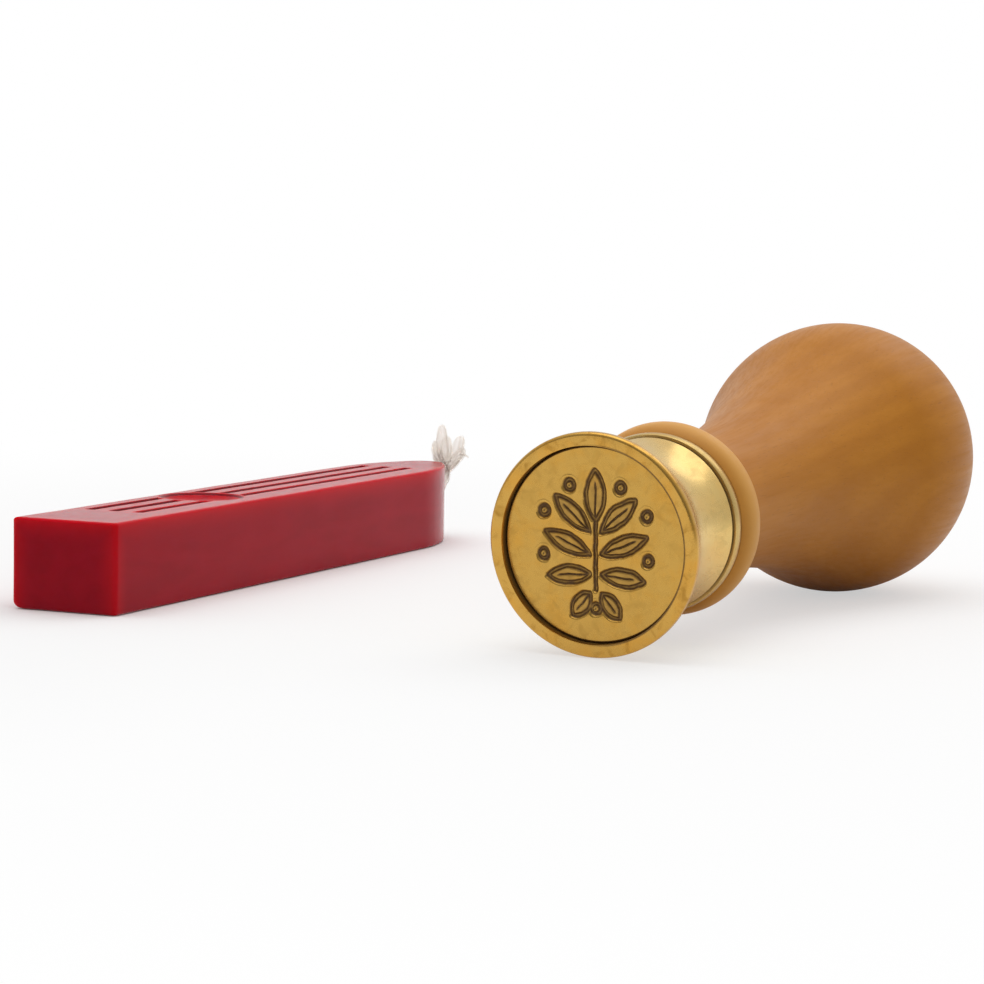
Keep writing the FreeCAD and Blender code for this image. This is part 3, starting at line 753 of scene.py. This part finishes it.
def stick_stations():
    """Lengths from the butt at which the stick's sections are drawn, closest where its shape changes."""
    butt = BUTT_CORNER * (1 - np.cos(np.linspace(0, math.pi / 2, BUTT_SECTIONS)))
    tip_start = math.asin((Plan.touch_along - Plan.tip_middle) / NOSE_TIP_RADIUS)
    tip_angles = np.linspace(tip_start, math.radians(LAST_TIP_ANGLE), TIP_SECTIONS)
    tip = Plan.tip_middle + NOSE_TIP_RADIUS * np.sin(tip_angles)
    reach = MEDALLION_RADIUS + MEDALLION_BORDER + STEP_MARGIN
    medallion = np.arange(-reach, reach, FINE_STEP) + MEDALLION_STATION
    flute_end = np.arange(-FLUTE_END_REACH, FLUTE_END_REACH, FINE_STEP)
    close = np.concatenate([medallion, FLUTE_START + flute_end, FLUTE_END + flute_end])
    coarse = np.arange(COARSE_START, Plan.touch_along - STEP_MARGIN, COARSE_STEP)
    coarse = [along for along in coarse if np.abs(close - along).min() > STEP_MARGIN]
    return np.unique(np.round(np.concatenate([butt, tip, close, coarse]), decimals=5))


def stick_section(along, top_places):
    """One closed section of the stick: over the top from left to right, down, and back underneath."""
    half = Plan.half_width(along)
    edge_angles = np.linspace(0, math.pi / 2, EDGE_POINTS)
    steps = (1 - np.cos(edge_angles)) * min(1, NARROW_SHARE * half)
    under_places = np.linspace(-FLAT_REACH, FLAT_REACH, UNDER_POINTS)
    right = half - steps[::-1] * STICK_EDGE
    flat_end = min(top_places.max(), half - steps.max() * STICK_EDGE * EDGE_CLEARANCE)

    def across(left_edge, places):
        """Places from the left edge over a flat to the right edge."""
        flat_start = max(top_places.min(), steps.max() * left_edge * EDGE_CLEARANCE - half)
        flat = np.interp(places, (places.min(), places.max()), (flat_start, flat_end))
        return np.concatenate([steps * left_edge - half, flat, right])

    top = across(LEFT_TOP_EDGE, top_places)
    under = across(LEFT_LOW_EDGE, under_places)[::-1]
    top_height = Plan.height - Plan.edge_drop(top, along, LEFT_TOP_EDGE) - sunk_depth(top, along)
    under_height = Plan.edge_drop(under, along, LEFT_LOW_EDGE)
    right_side = np.linspace(top_height[-1], under_height[0], SIDE_POINTS + 2)[1:-1]
    left_side = np.linspace(under_height[-1], top_height[0], SIDE_POINTS + 2)[1:-1]
    aside = np.concatenate([top, np.full(SIDE_POINTS, half), under, np.full(SIDE_POINTS, -half)])
    height = np.concatenate([top_height, right_side, under_height, left_side])
    return np.stack([aside, np.full_like(aside, along), height], -1)


def uneven(points):
    """Sink the stick's faces a little here and there, as cast wax sets, but not its underside."""
    waves = np.array([noise.noise_vector(Vector(point) * UNEVEN_SCALE) for point in points])
    waves = UNEVEN_DEPTH * (0.5 + 0.5 * np.clip(waves, -1, 1))
    up_share = np.clip(points[:, 2] / Plan.height, 0, 1)
    points[:, 0] -= points[:, 0] / Plan.half * waves[:, 0] * UNEVEN_SIDES
    points[:, 1] += (1 - points[:, 1] / Plan.length * 2) * waves[:, 1]
    points[:, 2] -= up_share * waves[:, 2]
    return points


def make_stick(finish):
    walls = np.array([place + side * FLUTE_HALF_WIDTH for place in FLUTE_PLACES for side in (-1, 1)])
    close = (walls[:, None] + np.linspace(-WALL_REACH, WALL_REACH, WALL_POINTS)).ravel()
    spread = np.linspace(-FLAT_REACH, FLAT_REACH, TOP_POINTS)
    spread = [aside for aside in spread if np.abs(walls - aside).min() > WALL_CLEARANCE]
    top_places = np.unique(np.concatenate([spread, close]))
    sections = [stick_section(along, top_places) for along in stick_stations()]
    points = uneven(np.concatenate(sections))
    rings = points.reshape(len(sections), -1, 3)
    mesh = grid_mesh("wax_stick", rings, caps=(0, len(sections) - 1))
    aside, along, height = mesh_points(mesh).T
    on_top = height > Plan.height - MEDALLION_DEPTH - STICK_EDGE
    from_middle = np.hypot(aside - PATTERN_ASIDE, along - MEDALLION_STATION)
    # Painted shade in the flutes, outside the medallion
    flute_shade = ramp(sunk_depth(aside, along), 0, FLUTE_SHADE_SHARE * FLUTE_DEPTH) * on_top
    flute_shade *= from_middle > MEDALLION_RADIUS * MEDALLION_SHARE
    mark(mesh, "grime_and_shade", flute_shade)
    # Painted glow on the lands between the flutes
    to_flute = np.abs(aside[:, None] - FLUTE_PLACES).min(axis=1) - FLUTE_HALF_WIDTH
    land_glow = ramp(to_flute, *LAND_REACH) * on_top
    land_glow *= ramp(along, FLUTE_START - LAND_FADE, FLUTE_START)
    land_glow *= ramp(along, FLUTE_END + LAND_FADE, FLUTE_END)
    mark(mesh, "painted_glow", land_glow * (1 - flute_shade))
    add_piece(mesh, finish, stick_frame, "stick", "wax_body")


# The frayed wick

class Tubes:
    """Gathers tubes and other bodies into one mesh, in millimetres."""

    def __init__(self):
        self.points = []
        self.faces = []
        self.count = 0

    def add(self, points, faces):
        """Add points, with faces that count from the first of them."""
        self.points.append(points)
        self.faces += [[self.count + index for index in face] for face in faces]
        self.count += len(points)

    def add_tube(self, rings):
        """Add a closed tube through rings of points."""
        faces = ring_faces(rings, caps=(0, len(rings) - 1))
        faces[-2].reverse()
        self.add(rings.reshape(-1, 3), faces)

    def mesh(self, name):
        mesh = bpy.data.meshes.new(name)
        mesh.from_pydata(np.concatenate(self.points), [], self.faces)
        mesh.shade_smooth()
        return mesh


def merge(mesh):
    """One closed skin round tubes that overlap, with the creases between them softened."""
    holder = add_object("plies", mesh)
    remesh = holder.modifiers.new("merge", "REMESH")
    remesh.mode = "VOXEL"
    remesh.voxel_size = MERGE_STEP
    merged = bpy.data.meshes.new_from_object(holder.evaluated_get(bpy.context.evaluated_depsgraph_get()))
    bpy.data.objects.remove(holder)
    soft = bmesh.new()
    soft.from_mesh(merged)
    all_axes = {"use_axis_x": True, "use_axis_y": True, "use_axis_z": True}
    for _ in range(MERGE_SMOOTHING):
        bmesh.ops.smooth_vert(soft, verts=soft.verts, factor=0.5, **all_axes)
    soft.to_mesh(merged)
    soft.free()
    return merged


def stem_middle(run):
    """Middle of the wick and the side that faces out of its bend, a length after it leaves the wax."""
    angle = min(max(run / WICK_BEND, 0), math.pi / 2)
    middle = wick_root + wick_out * math.sin(angle) * WICK_BEND
    middle = middle + wick_up * (1 - math.cos(angle)) * WICK_BEND
    if run < 0:
        return middle + wick_out * run, wick_up
    past = max(run - WICK_BEND * math.pi / 2, 0)
    return middle + wick_up * past, wick_up * math.cos(angle) - wick_out * math.sin(angle)


def ply_line(number):
    """Middle line of one ply as points, with its half width at each of them."""
    line = []
    stem_end = WICK_BEND * math.pi / 2 + STEM_RISE
    for run in np.linspace(STEM_ROOT, stem_end, STEM_POINTS):
        middle, normal = stem_middle(run)
        turn = math.tau * (number / len(PLIES) + run / PLY_TWIST_LENGTH)
        line.append(middle + (wick_aside * math.cos(turn) + normal * math.sin(turn)) * PLY_OFFSET)
    widths = [PLY_HALF_WIDTH] * STEM_POINTS
    bend_end = wick_root + wick_out * WICK_BEND
    for aside, rise, out, half_width in PLIES[number]:
        line.append(bend_end + wick_aside * aside + wick_up * rise + wick_out * out)
        widths.append(half_width)
    line, widths = np.array(line), np.array(widths)[:, None]
    for _ in range(LINE_SMOOTHING):
        line, widths = cut_corners(line), cut_corners(widths)
    return line, widths[:, 0]


def cut_corners(points):
    """Cut the corners of a line of points, keeping its ends."""
    quarter = points[:-1] * 0.75 + points[1:] * 0.25
    three_quarter = points[:-1] * 0.25 + points[1:] * 0.75
    cut = np.stack([quarter, three_quarter], 1).reshape(-1, points.shape[1])
    return np.concatenate([points[:1], cut, points[-1:]])


def across_line(line):
    """Two directions square to a line, the first close to the plane that the wick leans in."""
    run = np.gradient(line, axis=0)
    run /= np.linalg.norm(run, axis=1, keepdims=True)
    side = np.cross(run, wick_out + RING_SKEW * wick_aside)
    side /= np.linalg.norm(side, axis=1, keepdims=True)
    return side, np.cross(run, side)


def resample(line, widths, shares):
    """Points and half widths of a ply at shares of its length."""
    index = shares * (len(line) - 1)
    known = np.arange(len(line))
    middle = np.stack([np.interp(index, known, line[:, axis]) for axis in range(3)], -1)
    return middle, np.interp(index, known, widths)


def rings_round(middle, radii, sides, flatness=1.0):
    """Rings of points round a line, with radii for each row, or for each row and side."""
    side, other = across_line(middle)
    angles = np.arange(sides) * math.tau / sides
    reach = np.broadcast_to(np.array(radii).reshape(len(middle), -1), (len(middle), sides))[..., None]
    ring = side[:, None] * np.cos(angles)[:, None] + other[:, None] * np.sin(angles)[:, None] * flatness
    return middle[:, None] + ring * reach


def blunt(shares):
    """How much narrower a ply is at shares of its length, where its end is rounded."""
    past = np.maximum(shares - 1 + BLUNT_SHARE, 0) / BLUNT_SHARE
    return np.sqrt(np.maximum(1 - past ** 2, BLUNTEST))


def ply_body(number, line, widths):
    """One ply as a soft body with a blunt ragged end, and ridges where its fibres lie."""
    shares = 1 - (1 - np.linspace(0, 1, PLY_ROWS)) ** PLY_ROW_POWER
    middle, reach = resample(line, widths, shares)
    angles = np.arange(PLY_SIDES) * math.tau / PLY_SIDES
    radii = np.empty((PLY_ROWS, PLY_SIDES))
    reach = reach * blunt(shares)
    for row, share in enumerate(shares):
        for column, angle in enumerate(angles):
            turn = angle + share * RIDGE_TURN
            around = Vector((math.cos(turn), math.sin(turn), 0))
            swell = 1
            for scale, along_scale, ply_shift, height in RIDGES:
                along = Vector((0, 0, share * along_scale + number * ply_shift))
                swell += height * noise.noise(around * scale + along)
            radii[row, column] = reach[row] * swell
    return rings_round(middle, radii, PLY_SIDES, PLY_FLATNESS)


def fibre(draw, line, widths, points=12, sides=5):
    """A loose fibre that leaves the surface of a ply and curls a little."""
    start = draw.uniform(*FIBRE_STARTS)
    shares = np.linspace(start, min(start + draw.uniform(*FIBRE_REACHES), 1.0), points)
    middle, reach = resample(line, widths, shares)
    side, other = across_line(middle)
    turn = draw.uniform(0, math.tau) + shares * FIBRE_TURN
    place = reach * blunt(shares) * draw.uniform(*FIBRE_PLACES)
    seed = draw.uniform(*FIBRE_SEEDS)
    curl = np.array([noise.noise_vector(Vector((share * CURL_SCALE, seed, 0))) for share in shares])
    path = middle + side * (place * np.cos(turn))[:, None] + curl * CURL_REACH
    path += other * (place * np.sin(turn) * PLY_FLATNESS)[:, None]
    radii = np.linspace(1, FIBRE_TIP, points) * FIBRE_RADIUS * draw.uniform(*FIBRE_SIZES)
    return rings_round(path, radii, sides)


def whisker(number, points=9, sides=6):
    """One of the stray threads that stand out at the right."""
    start = wick_root + wick_out * (WICK_BEND + WHISKER_STEP_OUT * number)
    start = start + wick_aside * WHISKER_ASIDE + wick_up * (WHISKER_RISE + WHISKER_STEP_UP * number)
    shares = np.linspace(0, 1, points)[:, None]
    path = start + wick_aside * WHISKER_LENGTH * shares
    path += wick_up * WHISKER_ARCH * (np.sin(math.pi * shares) - shares)
    return rings_round(path, np.linspace(1, WHISKER_TIP, points) * WHISKER_RADIUS, sides)


def make_wick(finish):
    draw = random.Random(WICK_SEED)
    plies, wick = Tubes(), Tubes()
    for number in range(len(PLIES)):
        line, widths = ply_line(number)
        plies.add_tube(ply_body(number, line, widths))
        for _ in range(FIBRES_PER_PLY):
            wick.add_tube(fibre(draw, line, widths))
    for number in range(WHISKERS):
        wick.add_tube(whisker(number))
    body = merge(plies.mesh("plies"))
    wick.add(np.array([vertex.co for vertex in body.vertices]), [face.vertices for face in body.polygons])
    mesh = wick.mesh("frayed_wick")
    mesh.transform(Matrix.Scale(MM, 4))
    add_piece(mesh, finish, stick_frame, "stick", "wick")


# Finishes

class Nodes:
    """Short calls for the shader nodes of one tree."""

    def __init__(self, tree):
        self.tree = tree

    def feed(self, socket, value):
        """Link a socket to another, or set its value."""
        if isinstance(value, bpy.types.NodeSocket):
            self.tree.links.new(value, socket)
        else:
            socket.default_value = value

    def node(self, kind, inputs, **settings):
        node = self.tree.nodes.new("ShaderNode" + kind)
        for setting, value in settings.items():
            setattr(node, setting, value)
        for socket, value in inputs.items():
            self.feed(node.inputs[socket], value)
        return node

    def fit(self, value, low, high, new_low=0.0, new_high=1.0):
        """The value from low to high as a smooth step from new_low to new_high."""
        inputs = {0: value, 1: low, 2: high, 3: new_low, 4: new_high}
        return self.node("MapRange", inputs, interpolation_type="SMOOTHSTEP").outputs["Result"]

    def calc(self, operation, first, second):
        return self.node("Math", {0: first, 1: second}, operation=operation).outputs["Value"]

    def times(self, first, second):
        return self.calc("MULTIPLY", first, second)


class Finish(Nodes):
    """A Principled material of coats of colour, placed in one of the two frames."""

    def __init__(self, name, place, colour, values):
        self.material = bpy.data.materials.new(name)
        self.material.use_nodes = True
        super().__init__(self.material.node_tree)
        self.colour = rgb(*colour)
        self.shader = self.tree.nodes["Principled BSDF"]
        for socket, value in values.items():
            self.feed(self.shader.inputs[socket], value)
        inputs = {"Vector": self.node("TexCoord", {}).outputs["Object"], "Scale": [MM] * 3}
        inputs.update({"Location": place.translation, "Rotation": place.to_euler()})
        self.drawn = self.node("Mapping", inputs, vector_type="TEXTURE").outputs["Vector"]

    def place(self, scale=(1, 1, 1), shift=(0, 0, 0)):
        """Points of the piece in millimetres of the frame that it was drawn in, times a scale."""
        inputs = {"Vector": self.drawn, "Scale": scale, "Location": shift}
        return self.node("Mapping", inputs).outputs["Vector"]

    def axes(self):
        """The piece's own X, Y and Z in millimetres."""
        return self.node("SeparateXYZ", {0: self.place()}).outputs

    def noise(self, vector, scale=1.0, detail=3.0, roughness=0.55, distortion=0.0):
        inputs = {"Vector": vector, "Scale": scale, "Detail": detail, "Roughness": roughness}
        return self.node("TexNoise", {**inputs, "Distortion": distortion}).outputs["Fac"]

    def coat(self, share, *colour):
        """Lay a colour over those before it, by a share from 0 to 1."""
        inputs = {0: share, 6: self.colour, 7: rgb(*colour)}
        self.colour = self.node("Mix", inputs, data_type="RGBA").outputs[2]

    def marked(self, name):
        """The number that each vertex was marked with."""
        return self.node("Attribute", {}, attribute_name=name).outputs["Fac"]

    def bump(self, height, depth, normal=None):
        inputs = {"Height": height, "Distance": depth * MM}
        if normal is not None:
            inputs["Normal"] = normal
        return self.node("Bump", inputs).outputs["Normal"]

    def done(self, **sockets):
        """The material, with what feeds its shader; names have an underscore for a space."""
        self.feed(self.shader.inputs["Base Color"], self.colour)
        for socket, value in sockets.items():
            self.feed(self.shader.inputs[socket.replace("_", " ")], value)
        return self.material


def rgb(red, green, blue):
    return (red, green, blue, 1.0)


def wood_finish():
    """Fine-grained turned hardwood under a satin lacquer, with its grain along the handle."""
    finish = Finish("satin_wood", stamp_frame, (0.60, 0.227, 0.015), {"Specular IOR Level": 0.17})
    ring_inputs = {"Vector": finish.place((1, 1, 0.07), (-22, 13, 4)), "Scale": 0.11, "Distortion": 5.0}
    ring_inputs.update({"Detail": 3.0, "Detail Scale": 0.35, "Detail Roughness": 0.6})
    rings = finish.node("TexWave", ring_inputs, wave_type="RINGS", rings_direction="Z").outputs["Fac"]
    fibres = finish.noise(finish.place((1.9, 1.9, 0.07)), detail=6.0, roughness=0.62)
    blotches = finish.noise(finish.place((0.11, 0.11, 0.07)), detail=4.0)
    flecks = finish.fit(finish.noise(finish.place((6.5, 6.5, 0.55)), detail=2.0), 0.60, 0.74)
    finish.coat(finish.fit(rings, 0.1, 0.95, 0.0, 0.28), 0.455, 0.152, 0.007)
    finish.coat(finish.fit(fibres, 0.35, 0.7, 0.0, 0.17), 0.42, 0.134, 0.007)
    finish.coat(finish.fit(blotches, 0.38, 0.66, 0.0, 0.6), 0.495, 0.174, 0.010)
    finish.coat(finish.times(flecks, 0.25), 0.26, 0.076, 0.010)
    # Lighter collar crest: rubbed wear and a painted highlight
    finish.coat(finish.marked("rubbed_and_highlight"), 0.80, 0.400, 0.095)
    # Painted shade at the seam against the ferrule
    finish.coat(finish.times(finish.marked("grime_and_shade"), 0.8), 0.06, 0.020, 0.006)
    roughness = finish.fit(fibres, 0.3, 0.75, 0.34, 0.46)
    normal = finish.bump(finish.calc("SUBTRACT", fibres, finish.times(flecks, 0.6)), 0.014)
    return finish.done(Roughness=roughness, Normal=normal)


def brass_finish(name):
    """Turned brass: faint clouds, smudges and turning marks, brown patina where grime gathers, and painted
    shade and a painted dark reflection where marked.
    """
    plain, warm, dark, roughness, tarnish = BRASSES[name]
    finish = Finish(name, stamp_frame, plain, {"Metallic": 1.0})
    clouds = finish.noise(finish.place((0.3, 0.3, 0.3)), detail=4.0, roughness=0.6)
    smudge_places = finish.place((0.7, 0.7, 0.4), (5, 2, 7))
    smudges = finish.noise(smudge_places, detail=5.0, roughness=0.65, distortion=0.6)
    specks = finish.noise(finish.place((3.2, 3.2, 3.2)), detail=3.0)
    from_axis = finish.node("VectorMath", {0: finish.place((1, 1, 0))}, operation="LENGTH")
    turned = finish.node("CombineXYZ", {"X": from_axis.outputs["Value"], "Y": finish.axes()["Z"]})
    lines = finish.noise(turned.outputs["Vector"], scale=7.0, detail=4.0, roughness=0.7)
    grime_and_shade = finish.times(finish.marked("grime_and_shade"), finish.fit(specks, 0.2, 0.6, 0.8, 1.0))
    finish.coat(finish.fit(clouds, 0.42, 0.68), *warm)
    finish.coat(finish.fit(smudges, 0.5, 0.75, 0.0, tarnish), *dark)
    # Brown patina and grime, with painted shade in seams and recesses and a painted dark reflection on the
    # bead
    finish.coat(grime_and_shade, 0.115, 0.052, 0.015)
    rough = finish.fit(smudges, 0.3, 0.75, roughness * 0.8, roughness * 1.35)
    rough = finish.calc("ADD", rough, finish.times(grime_and_shade, 0.3))
    normal = finish.bump(smudges, 0.006, finish.bump(lines, 0.004))
    metallic = finish.calc("SUBTRACT", 1.0, finish.times(grime_and_shade, 0.75))
    return finish.done(Roughness=rough, Normal=normal, Metallic=metallic)


def edge_distance(finish):
    """How far a point of the stick's surface lies from the nearest edge of its top, butt and sides."""
    axes = finish.axes()
    from_side = finish.calc("SUBTRACT", Plan.half, finish.calc("ABSOLUTE", axes["X"], 0.0))
    from_top = finish.calc("SUBTRACT", Plan.height, axes["Z"])
    from_butt = axes["Y"]
    pairs = ((from_side, from_top), (from_side, from_butt), (from_top, from_butt))
    first, second, third = (finish.calc("ADD", *pair) for pair in pairs)
    return finish.calc("MINIMUM", finish.calc("MINIMUM", first, second), third)


def wax_finish():
    """Sealing wax: deep red and a little see-through, with painted glow at its edges and lands, painted
    shade in its flutes, and the soft shine of a mould.
    """
    finish = Finish("red_wax", stick_frame, (0.44, 0.006, 0.020), {
        "Subsurface Weight": 1.0,
        "Subsurface Radius": (1.0, 0.08, 0.07),
        "Subsurface Scale": 1.8 * MM,
        "Specular IOR Level": 0.065,
    })
    streaks = finish.noise(finish.place((0.30, 0.06, 0.30)), detail=4.0, distortion=0.8)
    clouds = finish.noise(finish.place((0.16, 0.12, 0.16), (3, 1, 2)), detail=3.0)
    skin = finish.noise(finish.place((1.1, 0.5, 1.1)), detail=5.0, roughness=0.6)
    finish.coat(finish.fit(streaks, 0.35, 0.7), 0.39, 0.005, 0.017)
    finish.coat(finish.fit(clouds, 0.5, 0.75, 0.0, 0.4), 0.50, 0.009, 0.026)
    # Painted glow: lighter red near the edges and on the lands, for light through the wax
    edges = finish.fit(edge_distance(finish), 0.0, EDGE_GLOW, 0.4, 0.0)
    land_glow = finish.times(finish.marked("painted_glow"), 0.5)
    finish.coat(finish.calc("MAXIMUM", edges, land_glow), 0.80, 0.008, 0.015)
    # Painted shade: darker red in the flutes
    finish.coat(finish.times(finish.marked("grime_and_shade"), 0.85), 0.16, 0.003, 0.010)
    roughness = finish.fit(skin, 0.3, 0.7, 0.13, 0.22)
    return finish.done(Roughness=roughness, Normal=finish.bump(skin, 0.002))


def cotton_finish():
    """Unbleached cotton: a dense stem, stained with wax, and a tuft that light passes through."""
    finish = Finish("frayed_cotton", stick_frame, (0.985, 0.965, 0.94), {
        "Roughness": 0.75,
        "Specular IOR Level": 0.1,
        "IOR": 1.03,
        "Sheen Weight": 0.2,
    })
    tint = finish.noise(finish.place((0.9, 0.9, 0.9)), detail=3.0)
    height = finish.calc("SUBTRACT", finish.axes()["Z"], WICK_HEIGHT)
    finish.coat(finish.fit(tint, 0.35, 0.7), 0.975, 0.945, 0.905)
    finish.coat(finish.fit(height, STAINED_LENGTH, 0.0, 0.0, 0.4), 0.88, 0.68, 0.64)
    airy = finish.fit(height, *AIRY_LENGTHS, 0.4, 0.8)
    return finish.done(Transmission_Weight=airy)


# Studio

class Stage(Nodes):
    """The floor's or the world's shader, which tells kinds of light ray apart."""

    def __init__(self, tree):
        super().__init__(tree)
        self.rays = self.node("LightPath", {}).outputs

    def lit(self, kind, level, **inputs):
        """A grey shader of a level."""
        return self.node(kind, {"Color": rgb(level, level, level), **inputs}).outputs[0]

    def mix(self, factor, first, second):
        return self.node("MixShader", {0: factor, 1: first, 2: second}).outputs["Shader"]

    def finish(self, shader, output):
        self.feed(self.tree.nodes[output].inputs["Surface"], shader)


def make_floor():
    """White sweep that shows the object's shadow on white, and returns less light than it shows."""
    mesh = bpy.data.meshes.new("floor")
    signs = ((-1, -1), (1, -1), (1, 1), (-1, 1))
    corners = [(x * FLOOR_REACH, y * FLOOR_REACH, -FLOOR_GAP) for x, y in signs]
    mesh.from_pydata(corners, [], [(0, 1, 2, 3)])
    floor = add_object("floor", mesh)
    material = bpy.data.materials.new("white_floor")
    material.use_nodes = True
    material.node_tree.nodes.remove(material.node_tree.nodes["Principled BSDF"])
    mesh.materials.append(material)
    stage = Stage(material.node_tree)
    here = stage.node("NewGeometry", {}).outputs["Position"]
    axes = stage.node("SeparateXYZ", {0: here}).outputs
    distance = stage.node("VectorMath", {0: here}, operation="LENGTH").outputs["Value"]
    near = stage.fit(distance, *SHADOW_FADE, 1.0, 0.0)
    seen = stage.rays["Is Camera Ray"]
    mirrored = stage.calc("MAXIMUM", stage.rays["Is Glossy Ray"], stage.rays["Is Transmission Ray"])
    seen_share = stage.fit(axes["X"], *STICK_TO_STAMP, *SEEN_SHADOWS)
    mirrored_share = stage.fit(axes["Y"], *FRONT_TO_MIDDLE, *MIRRORED_SHADOWS)
    share = stage.times(near, stage.fit(seen, 0.0, 1.0, mirrored_share, seen_share))
    shown = stage.mix(share, stage.lit("Emission", 1.0), stage.lit("BsdfDiffuse", 1.0))
    bounce = stage.lit("BsdfDiffuse", FLOOR_BOUNCE)
    stage.finish(stage.mix(stage.calc("MAXIMUM", seen, mirrored), bounce, shown), "Material Output")


def make_world():
    """Soft light from all round, weaker from the camera's side, in front of a white background."""
    world = bpy.data.worlds.new("studio")
    world.use_nodes = True
    stage = Stage(world.node_tree)
    direction = stage.node("TexCoord", {}).outputs["Generated"]
    towards_back = stage.node("VectorMath", {0: direction, 1: BACKWARD}, operation="DOT_PRODUCT")
    level = stage.fit(towards_back.outputs["Value"], *FRONT_TO_BACK, *WORLD_LEVELS)
    fill = stage.lit("Background", 1.0, Strength=level)
    seen = stage.calc("MAXIMUM", stage.rays["Is Camera Ray"], stage.rays["Is Transmission Ray"])
    stage.finish(stage.mix(seen, fill, stage.lit("Background", 1.0)), "World Output")
    bpy.context.scene.world = world


def add_softbox(name, place, aim, size, watts):
    """A square soft light at a place, aimed at a point, in metres."""
    lamp = bpy.data.lights.new(name, "AREA")
    lamp.energy = watts
    lamp.size = size
    light = add_object(name, lamp)
    light.location = place
    light.rotation_euler = (Vector(aim) - Vector(place)).to_track_quat("-Z", "Y").to_euler()
    light.visible_camera = False


def add_camera():
    """Camera at the place that was found from the photo's outlines."""
    lens = bpy.data.cameras.new("camera")
    lens.lens = CAMERA_LENS
    camera = add_object("camera", lens)
    turns = (("Z", CAMERA_HEADING), ("X", 90 - CAMERA_PITCH), ("Z", CAMERA_ROLL))
    for axis, angle in turns:
        camera.matrix_world @= Matrix.Rotation(math.radians(angle), 4, axis)
    camera.location = stick_frame @ (Vector((CAMERA_ASIDE, -CAMERA_BEHIND, CAMERA_HEIGHT)) * MM)
    bpy.context.scene.camera = camera


make_handle(wood_finish())
make_ferrule(brass_finish("pale_brass"))
make_cup(brass_finish("rim_brass"))
make_coin(brass_finish("golden_brass"))
plain_brass = brass_finish("plain_brass")
for inner_node in ("coin_stud", "threaded_insert"):
    frame["nodes"][inner_node].data.materials.clear()
    frame["nodes"][inner_node].data.materials.append(plain_brass)
make_stick(wax_finish())
make_wick(cotton_finish())

make_floor()
make_world()
for softbox, settings in SOFTBOXES.items():
    add_softbox(softbox, *settings)
add_camera()
bpy.context.scene.view_settings.view_transform = "Standard"
